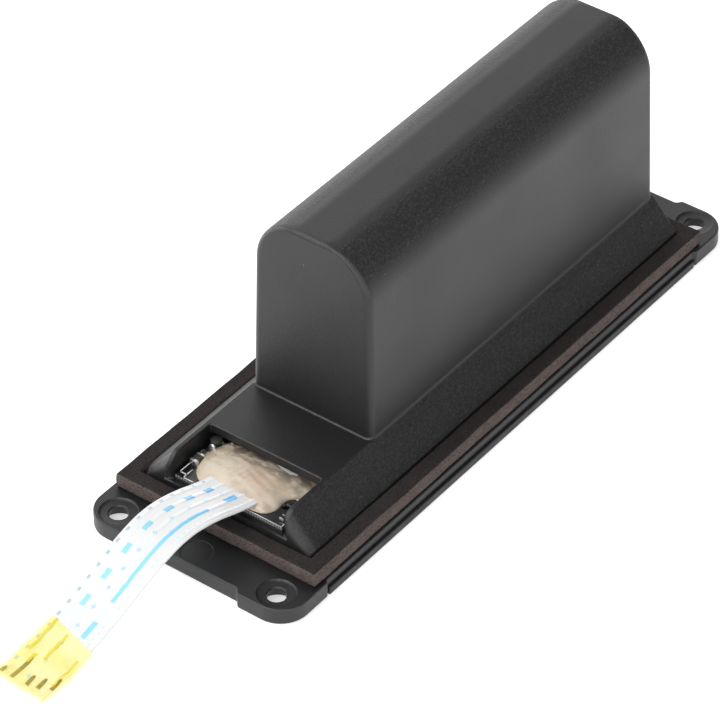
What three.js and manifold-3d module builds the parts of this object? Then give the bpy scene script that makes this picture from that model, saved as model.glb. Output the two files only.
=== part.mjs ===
// Rechargeable battery pack for a small portable device: two round cells stacked in the hump of a
// moulded housing, a protection board in front of them, a foam gasket round the deck and a flat
// ribbon cable. Millimetres, +Z up, +X away from the ribbon end. The origin is at the middle of the
// underside, on the surface that the pack stands on.

import * as THREE from 'three';
import { ConvexGeometry } from 'three/addons/geometries/ConvexGeometry.js';
import { mergeVertices } from 'three/addons/utils/BufferGeometryUtils.js';
import Module from 'manifold-3d';

const wasm = await Module();
wasm.setup();

// ---------------------------------------------------------------- driving dimensions

const CELL_DIAMETER = 18.1;       // the bare can
const CELL_LENGTH = 64.6;
const SLEEVE_THICK = 0.1;
const SLEEVE_CLEARANCE = 0.05;
const CELL_GAP = 0.2;             // between the two sleeves
const CELL_LIFT = 3.5;            // from the bottom cover up to the lower sleeve
const CELL_SIDE_ROOM = 0.8;       // from a sleeve to the wall at the foot of the hump
const CELL_END_ROOM = 3.55;       // for strips, papers and wires at each end of the cells
const CEILING_GAP = 0.4;          // between the upper sleeve and the roof of the hump
const CAP = { diameter: 6.0, proud: 0.4, depth: 1.2, skirt: 8.0, skirtThick: 0.25 };
const CAP_RING = { gap: 0.3, rim: 0.85, clearance: 0.2, thick: 0.2 };

const STRIP_THICK = 0.2;
const STRIP_WIDTH = 7.0;
const PAPER_THICK = 0.25;
const PAPER_GAP = 0.15;
const PAPER_WINDOW = 3.4;
const PAPER_INSET = 3.0;          // room for the middle wire to pass beside the far paper
const BAND = { start: 26, width: 12, thick: 0.1, gap: 0.05 };
const PAD = { inset: 6, length: 6, width: 12, gap: 0.1 };
const THERMISTOR = { start: 28, length: 3.5, diameter: 1.8 };

const HUMP_WALL = 1.3;
const HUMP_SHOULDER = 8.0;        // radius along both long top edges
const HUMP_END_EDGE = 0.8;        // radius along the short top edges
const HUMP_CORNER = 1.2;          // radius of the upright corners
const DRAFT = THREE.MathUtils.degToRad(1.3);

const WINDOW_LENGTH = 9.8;        // the board shows from here to the near end of the deck
const WINDOW_WIDTH = 21.0;
const LANDING = 11.1;             // flat of the deck between the window and the hump
const HUMP_STEP = 0.2;            // from the hump's far wall to the deck's far end
const SLOPE_RUN = 4.7;            // width of each sloped side of the deck
const DECK_FOOT = 2.7;            // height of the upright foot above the flange
const DECK_RISE = 5.3;            // height of the slopes
const DECK_WALL = 1.5;
const SLOPE_SHARE = 0.45;         // how far the inner knee and crease shift for each unit of wall
const NOSE_RADIUS = 2.0;

const GASKET_THICK = 2.7;
const GASKET_CLEARANCE = 0.15;    // to the foot of the deck
const GASKET_BAND = { near: 2.65, far: 2.45, side: 2.65 };

const FLANGE_THICK = 2.9;
const FLANGE_MARGIN = 0.8;        // from the gasket to the ears' long edges
const EAR_REACH = 7.7;            // from the gasket to the ears' ends
const EAR_RADIUS = 4.8;
const EAR_STEP = 0.9;             // the ears stand this much proud of the end edge between them
const EAR_SIDE_STEP = 0.45;       // and this much proud of the long edges
const EAR_LENGTH = 10.0;          // along the long side
const EAR_WIDTH = 9.6;            // along the short side
const SCREW_INSET_X = 3.55;       // from the ear's end to the hole's middle
const SCREW_INSET_Y = 4.6;
const SCREW_HOLE = 3.2;
const SEAT_DIAMETER = 6.0;
const SEAT_DEPTH = 0.25;
const MARK_DIAMETER = 5.0;        // ejector mark between the ears
const MARK_DEPTH = 0.15;

const COVER_THICK = 1.4;
const COVER_INSET_X = 7.9;        // from the ears' ends to the cover
const COVER_INSET_Y = 1.9;
const COVER_CLEARANCE = 0.1;
const LIP_CLEARANCE = 0.3;
const LABEL = { length: 56, width: 24, thick: 0.15, recess: 0.25, clearance: 0.3 };

const BOARD = { inset: 0.7, reach: 0.5, width: 20.2, thick: 1.0, hole: 1.4, holeX: 4.1, holeY: -7.7 };
const BOARD_LIFT = 0.85;          // from the foot of the deck's slopes up to the ledge that holds the board
const BOARD_GAP = 0.1;            // between the board and the ledge that it lies on
const PART_GAP = 0.05;            // solder film under a part on the board
const SUPPORT_RIB = { thick: 1.2, width: 14, inset: 3.1 };
const OUTPUT_TAB = { start: 8.2, length: 2.7, middleY: -5.1, width: 4.2, thick: 0.3 };
const GLUE = { start: 1.2, end: 7.8, left: 7.5, right: -8.2, height: 2.1, edge: 0.6 };

const WIRE_DIAMETER = 1.2;
const SENSE_WIRE_DIAMETER = 0.8;
const TOUCH = 0.3;                // clearance where a wire or the ribbon meets its neighbour

const RIBBON = { width: 9.4, thick: 0.3, yaw: THREE.MathUtils.degToRad(5.1) };
const RIBBON_TURN = { x: -44.7, y: 0 };       // the ribbon's plane turns about this point
const TAPE = { width: 10.6, thick: 0.15, length: 11.6 };
const CONTACT = { count: 5, width: 0.7, thick: 0.2, pitch: 1.9 };
// Route of the ribbon's middle in its own upright plane: distance from the turning point, height.
const RIBBON_ROUTE = [
  [-8.6, 8.2], [-6.5, 8.2], [-4.4, 8.2], [-2.2, 8.25], [0.0, 8.4], [2.5, 8.85], [5.0, 9.5], [8.0, 10.4],
  [11.0, 11.05], [14.0, 11.3], [17.0, 10.95], [20.0, 10.0], [23.0, 8.7], [26.0, 7.25], [29.0, 5.8],
  [32.0, 4.45], [35.0, 3.25], [38.0, 2.25], [42.2, 1.25],
];
const CONTACT_ROUTE = [[42.5, 1.2], [44.1, 0.95], [45.8, 0.8]];

// ---------------------------------------------------------------- worked out from them

const sleeveRadius = CELL_DIAMETER / 2 + SLEEVE_CLEARANCE + SLEEVE_THICK;
const cellBlock = CELL_LENGTH + CAP.proud;
const humpLength = cellBlock + 2 * (CELL_END_ROOM + HUMP_WALL);
const humpHalfWidth = sleeveRadius + CELL_SIDE_ROOM + HUMP_WALL;
const deckLength = WINDOW_LENGTH + LANDING + humpLength + HUMP_STEP;
const deckHalfWidth = humpHalfWidth + SLOPE_RUN;

const gasketLength = deckLength + 2 * GASKET_CLEARANCE + GASKET_BAND.near + GASKET_BAND.far;
const gasketHalfWidth = deckHalfWidth + GASKET_CLEARANCE + GASKET_BAND.side;
const endX = gasketLength / 2 + EAR_REACH;        // half the length over the ears
const endY = gasketHalfWidth + FLANGE_MARGIN;     // half the width over the ears
const midEdgeX = endX - EAR_STEP;
const midEdgeY = endY - EAR_SIDE_STEP;
const sideRun = endX - EAR_LENGTH;                // half the long edge between two ears
const screwX = endX - SCREW_INSET_X;
const screwY = endY - SCREW_INSET_Y;

const deckNear = GASKET_BAND.near + GASKET_CLEARANCE - gasketLength / 2;
const deckFar = deckNear + deckLength;
const windowBack = deckNear + WINDOW_LENGTH;
const humpNear = windowBack + LANDING;
const humpFar = humpNear + humpLength;
const cellsNear = humpNear + HUMP_WALL + CELL_END_ROOM;
const cellsFar = cellsNear + cellBlock;

const flangeTop = FLANGE_THICK;
const slopeFoot = flangeTop + DECK_FOOT;
const deckTop = slopeFoot + DECK_RISE;
const lowerZ = COVER_THICK + CELL_LIFT + sleeveRadius;
const upperZ = lowerZ + 2 * sleeveRadius + CELL_GAP;
const humpTop = upperZ + sleeveRadius + CEILING_GAP + HUMP_WALL;
const valleyZ = (upperZ + lowerZ) / 2;
const valleyY = sleeveRadius - 1.6;

const boardNear = deckNear + BOARD.inset;
const boardFar = humpNear + BOARD.reach;
const boardUnder = slopeFoot + BOARD_LIFT + BOARD_GAP / 2;
const boardTop = boardUnder + BOARD.thick;
const ledgeTop = boardUnder - BOARD_GAP;

// ---------------------------------------------------------------- shape helpers

const finish = (color, roughness, metalness = 0) =>
  new THREE.MeshStandardMaterial({ color, roughness, metalness });

const model = new THREE.Group();

function add(name, geometry, material, parent = model) {
  const mesh = new THREE.Mesh(geometry, material);
  mesh.name = name;
  parent.add(mesh);
  return mesh;
}

function box(x0, x1, y0, y1, z0, z1) {
  const geometry = new THREE.BoxGeometry(x1 - x0, y1 - y0, z1 - z0);
  return geometry.translate((x0 + x1) / 2, (y0 + y1) / 2, (z0 + z1) / 2);
}

function cylinderZ(x, y, z0, z1, diameter, sides = 24) {
  const geometry = new THREE.CylinderGeometry(diameter / 2, diameter / 2, z1 - z0, sides);
  return geometry.rotateX(Math.PI / 2).translate(x, y, (z0 + z1) / 2);
}

function cylinderX(x0, x1, y, z, diameter, sides = 32) {
  const geometry = new THREE.CylinderGeometry(diameter / 2, diameter / 2, x1 - x0, sides);
  return geometry.rotateZ(-Math.PI / 2).translate((x0 + x1) / 2, y, z);
}

// A closed ring about the X axis through (y, z).
function ringX(x0, x1, y, z, inner, outer, sides = 32) {
  const [a, b] = [inner / 2, outer / 2];
  const profile = [[a, x0], [b, x0], [b, x1], [a, x1], [a, x0]].map(([r, x]) => new THREE.Vector2(r, x));
  return new THREE.LatheGeometry(profile, sides).rotateZ(-Math.PI / 2).translate(0, y, z);
}

function roundedRectangle(halfX, halfY, radius) {
  const shape = new THREE.Shape();
  shape.moveTo(halfX, -halfY + radius);
  shape.absarc(halfX - radius, halfY - radius, radius, 0, Math.PI / 2);
  shape.absarc(-halfX + radius, halfY - radius, radius, Math.PI / 2, Math.PI);
  shape.absarc(-halfX + radius, -halfY + radius, radius, Math.PI, 1.5 * Math.PI);
  shape.absarc(halfX - radius, -halfY + radius, radius, 1.5 * Math.PI, 2 * Math.PI);
  return shape;
}

function extrudeZ(shape, z0, z1, curveSegments = 6) {
  const geometry = new THREE.ExtrudeGeometry(shape, { depth: z1 - z0, bevelEnabled: false, curveSegments });
  return geometry.translate(0, 0, z0);
}

// The shape's own x and y become Y and Z; it is drawn out along X.
function extrudeX(shape, x0, x1, curveSegments = 8) {
  const geometry = new THREE.ExtrudeGeometry(shape, { depth: x1 - x0, bevelEnabled: false, curveSegments });
  geometry.rotateZ(Math.PI / 2).rotateY(Math.PI / 2);
  return geometry.translate(x0, 0, 0);
}

// The shape's own x and y become X and Z; it is drawn out along Y, evenly to both sides.
function extrudeY(shape, width, curveSegments = 8) {
  const geometry = new THREE.ExtrudeGeometry(shape, { depth: width, bevelEnabled: false, curveSegments });
  return geometry.rotateX(Math.PI / 2).translate(0, width / 2, 0);
}

function polygon(points) {
  return new THREE.Shape(points.map(([x, y]) => new THREE.Vector2(x, y)));
}

// Two round ends joined by straight sides: the outline of the two stacked cells.
function stackOutline(radius) {
  const shape = new THREE.Shape();
  shape.moveTo(radius, lowerZ);
  shape.absarc(0, upperZ, radius, 0, Math.PI);
  shape.absarc(0, lowerZ, radius, Math.PI, 2 * Math.PI);
  return shape;
}

function wire(points, diameter) {
  const curve = new THREE.CatmullRomCurve3(points.map((p) => new THREE.Vector3(...p)), false, 'centripetal');
  const section = new THREE.Shape();
  section.absarc(0, 0, diameter / 2, 0, 2 * Math.PI);
  const steps = Math.max(6, Math.round(curve.getLength() / (2.5 * diameter)));
  return new THREE.ExtrudeGeometry(section, { extrudePath: curve, steps, curveSegments: 4 });
}

function solid(geometry) {
  const bare = geometry.clone();
  bare.deleteAttribute('normal');
  bare.deleteAttribute('uv');
  const merged = mergeVertices(bare, 1e-5);
  return new wasm.Manifold(new wasm.Mesh({
    numProp: 3,
    vertProperties: new Float32Array(merged.attributes.position.array),
    triVerts: new Uint32Array(merged.index.array),
  }));
}

function surface(manifold) {
  const mesh = manifold.getMesh();
  const geometry = new THREE.BufferGeometry();
  geometry.setAttribute('position', new THREE.BufferAttribute(mesh.vertProperties, 3));
  geometry.setIndex(new THREE.BufferAttribute(mesh.triVerts, 1));
  geometry.computeVertexNormals();
  return geometry;
}

const cut = (body, ...tools) => tools.reduce((rest, tool) => rest.subtract(solid(tool)), body);
const join = (body, ...tools) => tools.reduce((whole, tool) => whole.add(solid(tool)), body);

// ---------------------------------------------------------------- the housing

// The hump, drawn in by `inset` on every side. Each level is a rounded rectangle; the walls lean in
// by the draft angle, the long top edges follow the shoulder radius and the short ones a small edge.
function humpShape(inset, foot, cornerSegments = 3, shoulderSegments = 6) {
  const top = humpTop - inset;
  const shoulder = HUMP_SHOULDER - inset;
  const corner = Math.max(HUMP_CORNER - inset, 0.3);
  const levels = [[foot, 0, 0], [top - shoulder, 0, 0]];
  for (let i = 1; i <= shoulderSegments; i += 1) {
    const angle = (i / shoulderSegments) * (Math.PI / 2);
    const z = top - shoulder + shoulder * Math.sin(angle);
    levels.push([z, shoulder * (1 - Math.cos(angle)), 0]);
  }
  const points = [];
  for (const [z, pull] of levels) {
    const lean = Math.tan(DRAFT) * (z - deckTop) + inset;
    const edge = Math.max(0, z - (top - HUMP_END_EDGE));
    const endPull = HUMP_END_EDGE - Math.sqrt(HUMP_END_EDGE ** 2 - edge ** 2);
    const x0 = humpNear + lean + endPull;
    const x1 = humpFar - lean - endPull;
    const halfY = humpHalfWidth - lean - pull;
    for (const [cx, cy, start] of [
      [x1 - corner, halfY - corner, 0], [x0 + corner, halfY - corner, 1],
      [x0 + corner, corner - halfY, 2], [x1 - corner, corner - halfY, 3],
    ]) {
      for (let i = 0; i <= cornerSegments; i += 1) {
        const angle = (start + i / cornerSegments) * (Math.PI / 2);
        points.push(new THREE.Vector3(cx + corner * Math.cos(angle), cy + corner * Math.sin(angle), z));
      }
    }
  }
  return new ConvexGeometry(points);
}

// Cross-section of the deck, drawn in by `inset`.
function deckSection(inset, foot) {
  const half = deckHalfWidth - inset;
  const halfTop = humpHalfWidth - inset * SLOPE_SHARE;
  const kneeZ = slopeFoot - inset * SLOPE_SHARE;
  return polygon([
    [half, foot], [half, kneeZ], [halfTop, deckTop - inset],
    [-halfTop, deckTop - inset], [-half, kneeZ], [-half, foot],
  ]);
}

function deckSide() {
  const shape = new THREE.Shape();
  shape.moveTo(deckNear, 0);
  shape.lineTo(deckFar, 0);
  shape.lineTo(deckFar, deckTop + 1);
  shape.lineTo(deckNear + NOSE_RADIUS, deckTop + 1);
  shape.lineTo(deckNear + NOSE_RADIUS, deckTop);
  shape.absarc(deckNear + NOSE_RADIUS, deckTop - NOSE_RADIUS, NOSE_RADIUS, Math.PI / 2, Math.PI);
  return shape;
}

function screwPlaces() {
  const places = [];
  for (const x of [-screwX, screwX]) {
    for (const y of [-screwY, screwY]) places.push([x, y]);
  }
  return places;
}

function topHousing() {
  const beyond = 5;

  let flange = solid(extrudeZ(roundedRectangle(endX, endY, EAR_RADIUS), 0, flangeTop));
  const middleHalf = endY - EAR_WIDTH;
  flange = cut(flange,
    box(midEdgeX, endX + beyond, -middleHalf, middleHalf, -1, flangeTop + 1),
    box(-endX - beyond, -midEdgeX, -middleHalf, middleHalf, -1, flangeTop + 1),
    box(-sideRun, sideRun, midEdgeY, endY + beyond, -1, flangeTop + 1),
    box(-sideRun, sideRun, -endY - beyond, -midEdgeY, -1, flangeTop + 1));

  const deck = solid(extrudeX(deckSection(0, 0), deckNear, deckFar)).intersect(
    solid(extrudeY(deckSide(), 2 * (deckHalfWidth + beyond))));
  let body = flange.add(deck).add(solid(humpShape(0, flangeTop)));

  // the window over the board, and the inside: hump, deck and the room under the board
  const windowHalf = WINDOW_WIDTH / 2;
  body = cut(body,
    box(deckNear - beyond, windowBack, -windowHalf, windowHalf, ledgeTop, deckTop + beyond),
    extrudeX(deckSection(DECK_WALL, -1), windowBack + DECK_WALL, deckFar - DECK_WALL),
    humpShape(HUMP_WALL, -1),
    box(deckNear + DECK_WALL, windowBack + 2 * DECK_WALL, 1 - BOARD.width / 2, BOARD.width / 2 - 1,
      -1, deckTop - DECK_WALL - 1));
  body = cut(body, box(boardNear, windowBack + 2 * DECK_WALL, -windowHalf, windowHalf,
    ledgeTop, deckTop - DECK_WALL));

  // seat of the bottom cover, with its lips along both long sides
  const seatX = endX - COVER_INSET_X;
  const seatY = endY - COVER_INSET_Y;
  body = cut(body,
    box(-seatX, seatX, -seatY, seatY, -1, COVER_THICK + COVER_CLEARANCE),
    box(-sideRun, sideRun, -endY - beyond, endY + beyond, -1, COVER_THICK + COVER_CLEARANCE));

  for (const [x, y] of screwPlaces()) {
    body = cut(body, cylinderZ(x, y, -1, flangeTop + 1, SCREW_HOLE),
      cylinderZ(x, y, flangeTop - SEAT_DEPTH, flangeTop + 1, SEAT_DIAMETER));
  }
  for (const x of [-screwX, screwX]) {
    body = cut(body, cylinderZ(x, 0, flangeTop - MARK_DEPTH, flangeTop + 1, MARK_DIAMETER));
  }
  return surface(body);
}

function bottomCover() {
  const halfX = endX - COVER_INSET_X - COVER_CLEARANCE;
  const halfY = endY - COVER_INSET_Y - COVER_CLEARANCE;
  const lipX = sideRun - LIP_CLEARANCE;
  const ribHalf = SUPPORT_RIB.width / 2;
  const ribX = boardFar - SUPPORT_RIB.inset;
  let body = solid(box(-halfX, halfX, -halfY, halfY, 0, COVER_THICK));
  body = join(body,
    box(-lipX, lipX, -endY, endY, 0, COVER_THICK),
    box(ribX, ribX + SUPPORT_RIB.thick, -ribHalf, ribHalf, COVER_THICK / 2, ledgeTop));
  body = cut(body, box(-LABEL.length / 2 - LABEL.clearance, LABEL.length / 2 + LABEL.clearance,
    -LABEL.width / 2 - LABEL.clearance, LABEL.width / 2 + LABEL.clearance, -1, LABEL.recess));
  return surface(body);
}

function foamGasket() {
  const corners = (x0, x1, halfY) => [[x0, -halfY], [x1, -halfY], [x1, halfY], [x0, halfY]];
  const outer = polygon(corners(-gasketLength / 2, gasketLength / 2, gasketHalfWidth));
  const hole = corners(deckNear - GASKET_CLEARANCE, deckFar + GASKET_CLEARANCE, deckHalfWidth + GASKET_CLEARANCE);
  outer.holes.push(new THREE.Path(hole.map(([x, y]) => new THREE.Vector2(x, y))));
  return extrudeZ(outer, flangeTop, flangeTop + GASKET_THICK);
}

const blackPlastic = finish(0x2a2a2c, 0.55);
add('top_housing', topHousing(), blackPlastic);
add('bottom_cover', bottomCover(), finish(0x1c1d1e, 0.5));
add('foam_gasket', foamGasket(), finish(0x4c423f, 0.95));
add('rating_label', box(-LABEL.length / 2, LABEL.length / 2, -LABEL.width / 2, LABEL.width / 2,
  LABEL.recess - LABEL.thick, LABEL.recess), finish(0x8f9296, 0.45));

// ---------------------------------------------------------------- the two cells

// `facing` is -1 where the positive cap looks towards the ribbon end and +1 where it looks away.
function addCell(name, z, facing) {
  const near = facing < 0 ? cellsNear + CAP.proud : cellsNear;
  const far = near + CELL_LENGTH;
  const capEnd = facing < 0 ? near : far;
  const inwards = -facing;
  const [rimStart, rimEnd] = [capEnd, capEnd + inwards * CAP.depth].sort((a, b) => a - b);

  // the can is dished at the positive end, which leaves room for the cap and its ring
  const ringOuter = CELL_DIAMETER - 2 * CAP_RING.rim;
  const dish = cylinderX(rimStart - (facing < 0 ? 1 : 0), rimEnd + (facing > 0 ? 1 : 0), 0, z,
    ringOuter + 2 * CAP_RING.clearance);
  const can = cut(solid(cylinderX(near, far, 0, z, CELL_DIAMETER)), dish);
  add(`${name}_can`, surface(can), finish(0xa9abae, 0.35, 0.9));

  const sleeve = CELL_DIAMETER + 2 * SLEEVE_CLEARANCE;
  add(`${name}_sleeve`, ringX(near + 0.1, far - 0.1, 0, z, sleeve, sleeve + 2 * SLEEVE_THICK),
    finish(0x2f6fb3, 0.4));

  const capBase = capEnd + inwards * (CAP.depth - PART_GAP);
  const skirtTop = capBase - inwards * CAP.skirtThick;
  const capTop = capEnd - inwards * CAP.proud;
  const span = (a, b) => [Math.min(a, b), Math.max(a, b)];
  const skirt = cylinderX(...span(capBase, skirtTop), 0, z, CAP.skirt, 24);
  const button = cylinderX(...span(capBase, capTop), 0, z, CAP.diameter, 24);
  add(`${name}_cap`, surface(join(solid(skirt), button)), finish(0xc4c6c8, 0.3, 0.9));

  const ringEnd = capBase - inwards * CAP_RING.thick;
  add(`${name}_cap_ring`, ringX(...span(capBase, ringEnd), 0, z, CAP.skirt + 2 * CAP_RING.gap, ringOuter, 24),
    finish(0xe9e7df, 0.8));
}
addCell('upper_cell', upperZ, -1);
addCell('lower_cell', lowerZ, 1);

const nickel = () => finish(0xb9b6ae, 0.35, 0.85);
const half = STRIP_WIDTH / 2;
add('series_strip', box(cellsFar, cellsFar + STRIP_THICK, -half, half, lowerZ - half, upperZ + half), nickel());
add('positive_strip', box(cellsNear - STRIP_THICK, cellsNear, -half, half, upperZ - half, upperZ + half), nickel());
add('negative_strip', box(cellsNear - STRIP_THICK, cellsNear, -half, half, lowerZ - half, lowerZ + half), nickel());

// Insulating papers over both ends of the stack, with square windows for the tap wires.
function endPaper(x, windows) {
  const shape = stackOutline(sleeveRadius - PAPER_INSET);
  for (const z of windows) {
    const w = PAPER_WINDOW / 2;
    shape.holes.push(new THREE.Path([[-w, z - w], [-w, z + w], [w, z + w], [w, z - w]]
      .map(([a, b]) => new THREE.Vector2(a, b))));
  }
  return extrudeX(shape, x, x + PAPER_THICK);
}
const paper = () => finish(0x6f8f6a, 0.9);
const farPaperX = cellsFar + STRIP_THICK + PAPER_GAP;
const nearPaperX = cellsNear - STRIP_THICK - PAPER_GAP - PAPER_THICK;
add('end_paper_far', endPaper(farPaperX, [valleyZ]), paper());
add('end_paper_near', endPaper(nearPaperX, [lowerZ, upperZ]), paper());

// A band of clear film holds the two cells together.
function cellBand() {
  const inner = sleeveRadius + BAND.gap;
  const start = cellsNear + BAND.start;
  const shape = stackOutline(inner + BAND.thick);
  shape.holes.push(new THREE.Path(stackOutline(inner).getPoints(16)));
  return extrudeX(shape, start, start + BAND.width, 16);
}
add('cell_band', cellBand(), finish(0xd8c27a, 0.3));

const padTop = lowerZ - sleeveRadius - BAND.thick - BAND.gap - PAD.gap;
for (const [name, x] of [
  ['near_cell_pad', cellsNear + PAD.inset], ['far_cell_pad', cellsFar - PAD.inset - PAD.length],
]) {
  add(name, box(x, x + PAD.length, -PAD.width / 2, PAD.width / 2, COVER_THICK, padTop), finish(0x3a3a3a, 0.95));
}

// ---------------------------------------------------------------- the protection board

function board() {
  const body = solid(box(boardNear, boardFar, -BOARD.width / 2, BOARD.width / 2, boardUnder, boardTop));
  return surface(cut(body, cylinderZ(boardNear + BOARD.holeX, BOARD.holeY, 0, deckTop, BOARD.hole, 16)));
}
add('protection_board', board(), finish(0x121414, 0.45));

const boardParts = [
  // name, middle from the board's near edge, middle Y, size along X, Y and Z, colour
  ['charge_transistor', 13.2, -5.8, 4.0, 5.0, 1.5, 0x161616],
  ['discharge_transistor', 13.2, 0.2, 4.0, 5.0, 1.5, 0x161616],
  ['protection_chip', 13.3, 6.2, 3.0, 3.0, 1.0, 0x161616],
  ['fuel_gauge_chip', 18.1, -6.4, 3.4, 4.4, 1.0, 0x161616],
  ['sense_resistor', 17.9, 0.8, 3.2, 4.0, 0.6, 0x2b2b2b],
  ['chip_fuse', 10.4, 6.1, 1.2, 2.4, 0.7, 0xcfc8b4],
  ['tall_capacitor', 8.4, 8.9, 2.4, 1.9, 1.6, 0x1a1a1a],
  ['small_capacitor_1', 4.0, 9.0, 2.0, 1.5, 1.1, 0x2a2420],
  ['small_capacitor_2', 6.1, 9.3, 0.8, 1.2, 0.5, 0x2a2420],
  ['chip_resistor_1', 6.7, -9.2, 1.6, 0.9, 0.5, 0x1a1a1a],
  ['chip_resistor_2', 1.6, -9.1, 1.0, 0.8, 0.5, 0x1a1a1a],
];
const partsFoot = boardTop + PART_GAP;
for (const [name, along, y, length, width, height, color] of boardParts) {
  const x = boardNear + along;
  add(name, box(x - length / 2, x + length / 2, y - width / 2, y + width / 2, partsFoot, partsFoot + height),
    finish(color, 0.5));
}
const tabStart = boardNear + OUTPUT_TAB.start;
add('output_tab', box(tabStart, tabStart + OUTPUT_TAB.length, OUTPUT_TAB.middleY - OUTPUT_TAB.width / 2,
  OUTPUT_TAB.middleY + OUTPUT_TAB.width / 2, partsFoot, partsFoot + OUTPUT_TAB.thick), nickel());

// ---------------------------------------------------------------- wires inside the pack

// Each tap wire starts at its strip, runs down the end of the stack and bends forward onto the board.
const wireX = nearPaperX - TOUCH - WIRE_DIAMETER / 2 - 0.1;
const wireFoot = boardTop + TOUCH;
const wireStart = cellsNear - STRIP_THICK - TOUCH;
const wallInside = humpNear + HUMP_WALL;
const underRoof = (boardTop + deckTop - DECK_WALL) / 2;
const turnDown = (y, lift) => [[wallInside + 1.5, y, wireFoot + lift], [wallInside + 0.6, y, underRoof]];
const POSITIVE_Y = 4.4;
const NEGATIVE_Y = -2.8;
add('positive_wire', wire([
  [wireStart, 0, upperZ], [wireX, 0, upperZ - 1.2], [wireX, POSITIVE_Y / 2, upperZ - 6], [wireX, POSITIVE_Y, valleyZ],
  [wireX, POSITIVE_Y, lowerZ], ...turnDown(POSITIVE_Y, 2.6), [boardFar - 0.2, POSITIVE_Y, wireFoot + WIRE_DIAMETER / 2],
], WIRE_DIAMETER), finish(0xa32020, 0.5));
add('negative_wire', wire([
  [wireStart, 0, lowerZ], [wireX, -0.3, lowerZ - 1.0], [wireX, NEGATIVE_Y, lowerZ - 3.0],
  ...turnDown(NEGATIVE_Y, 2.2), [boardFar - 0.2, NEGATIVE_Y, wireFoot + WIRE_DIAMETER / 2],
], WIRE_DIAMETER), finish(0x1d1d1f, 0.5));

// The thin wires lie in the two valleys between the cells and come round to the board.
const alongValley = (y) => [
  [cellsNear + 4, y, valleyZ], [wireX + 1.0, y, valleyZ - 0.6], [wireX, y, valleyZ - 3], [wireX, y, lowerZ],
  ...turnDown(y, 2.4), [boardFar - 0.4, y, wireFoot + SENSE_WIRE_DIAMETER / 2 + 0.1],
];
const farWireStart = cellsFar + STRIP_THICK + TOUCH;
add('middle_wire', wire([
  [farWireStart, 0, valleyZ], [farPaperX + 1.2, 1.0, valleyZ], [farPaperX + 1.3, valleyY / 2, valleyZ],
  [cellsFar, valleyY, valleyZ], [cellsFar - 6, valleyY, valleyZ], ...alongValley(valleyY),
], SENSE_WIRE_DIAMETER), finish(0xd8d8d6, 0.5));

const thermistorStart = cellsNear + THERMISTOR.start;
add('thermistor', cylinderX(thermistorStart, thermistorStart + THERMISTOR.length, -valleyY, valleyZ,
  THERMISTOR.diameter, 16), finish(0x1b2a20, 0.4));
add('thermistor_wire', wire([[thermistorStart - TOUCH, -valleyY, valleyZ], ...alongValley(-valleyY)],
  SENSE_WIRE_DIAMETER), finish(0xd8d8d6, 0.5));

// ---------------------------------------------------------------- glue and ribbon cable

const ribbonFrame = new THREE.Group();
ribbonFrame.position.set(RIBBON_TURN.x, RIBBON_TURN.y, 0);
ribbonFrame.rotation.z = -RIBBON.yaw;
ribbonFrame.updateMatrix();
model.add(ribbonFrame);

// A flat strip of the given thickness and width whose middle follows the route.
function flatStrip(route, thick, width, points) {
  const curve = new THREE.SplineCurve(route.map(([along, z]) => new THREE.Vector2(-along, z)));
  const upper = [];
  const lower = [];
  for (let i = 0; i < points; i += 1) {
    const u = i / (points - 1);
    const middle = curve.getPointAt(u);
    const tangent = curve.getTangentAt(u);
    const normal = new THREE.Vector2(-tangent.y, tangent.x).multiplyScalar(thick / 2);
    upper.push(middle.clone().add(normal));
    lower.unshift(middle.clone().sub(normal));
  }
  return extrudeY(new THREE.Shape([...upper, ...lower]), width);
}

// The stretch of a route between two distances from the turning point.
function routeBetween(from, to, count) {
  const whole = [...RIBBON_ROUTE, ...CONTACT_ROUTE];
  const curve = new THREE.SplineCurve(whole.map(([along, z]) => new THREE.Vector2(along, z)));
  const samples = curve.getPoints(240).filter((p) => p.x >= from && p.x <= to);
  const step = (samples.length - 1) / (count - 1);
  return Array.from({ length: count }, (_, i) => samples[Math.round(i * step)]).map((p) => [p.x, p.y]);
}

// A low mound of adhesive over the ribbon's solder joints, slit for the ribbon.
function adhesive() {
  const { left, right, height, edge } = GLUE;
  const near = boardNear + GLUE.start;
  const far = boardNear + GLUE.end;
  const foot = boardTop + PART_GAP;
  const outline = new THREE.Shape();
  outline.moveTo(near, 0);
  outline.bezierCurveTo(near, left * 0.8, near + 1.6, left, near + 3.2, left);
  outline.bezierCurveTo(near + 4.6, left, far, left * 0.95, far, left * 0.6);
  outline.lineTo(far, right * 0.6);
  outline.bezierCurveTo(far, right * 0.95, near + 4.6, right, near + 3.2, right);
  outline.bezierCurveTo(near + 1.6, right, near, right * 0.8, near, 0);
  const mound = new THREE.ExtrudeGeometry(outline, {
    depth: height - edge, bevelEnabled: true, bevelThickness: edge, bevelSize: edge, bevelOffset: -edge,
    bevelSegments: 2, curveSegments: 4,
  }).translate(0, 0, foot);
  const slit = flatStrip(RIBBON_ROUTE, RIBBON.thick + 2 * TOUCH, RIBBON.width + 2 * TOUCH, 24);
  slit.applyMatrix4(ribbonFrame.matrix);
  return surface(cut(solid(mound), box(near - 5, far + 5, 2 * right, 2 * left, foot - 5, foot), slit));
}
add('adhesive_blob', adhesive(), finish(0xd7c8b4, 0.35));

const ribbonEnd = RIBBON_ROUTE[RIBBON_ROUTE.length - 1][0];
const contactEnd = CONTACT_ROUTE[CONTACT_ROUTE.length - 1][0];
add('ribbon_cable', flatStrip(RIBBON_ROUTE, RIBBON.thick, RIBBON.width, 36), finish(0xf2f5f6, 0.5), ribbonFrame);

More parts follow.
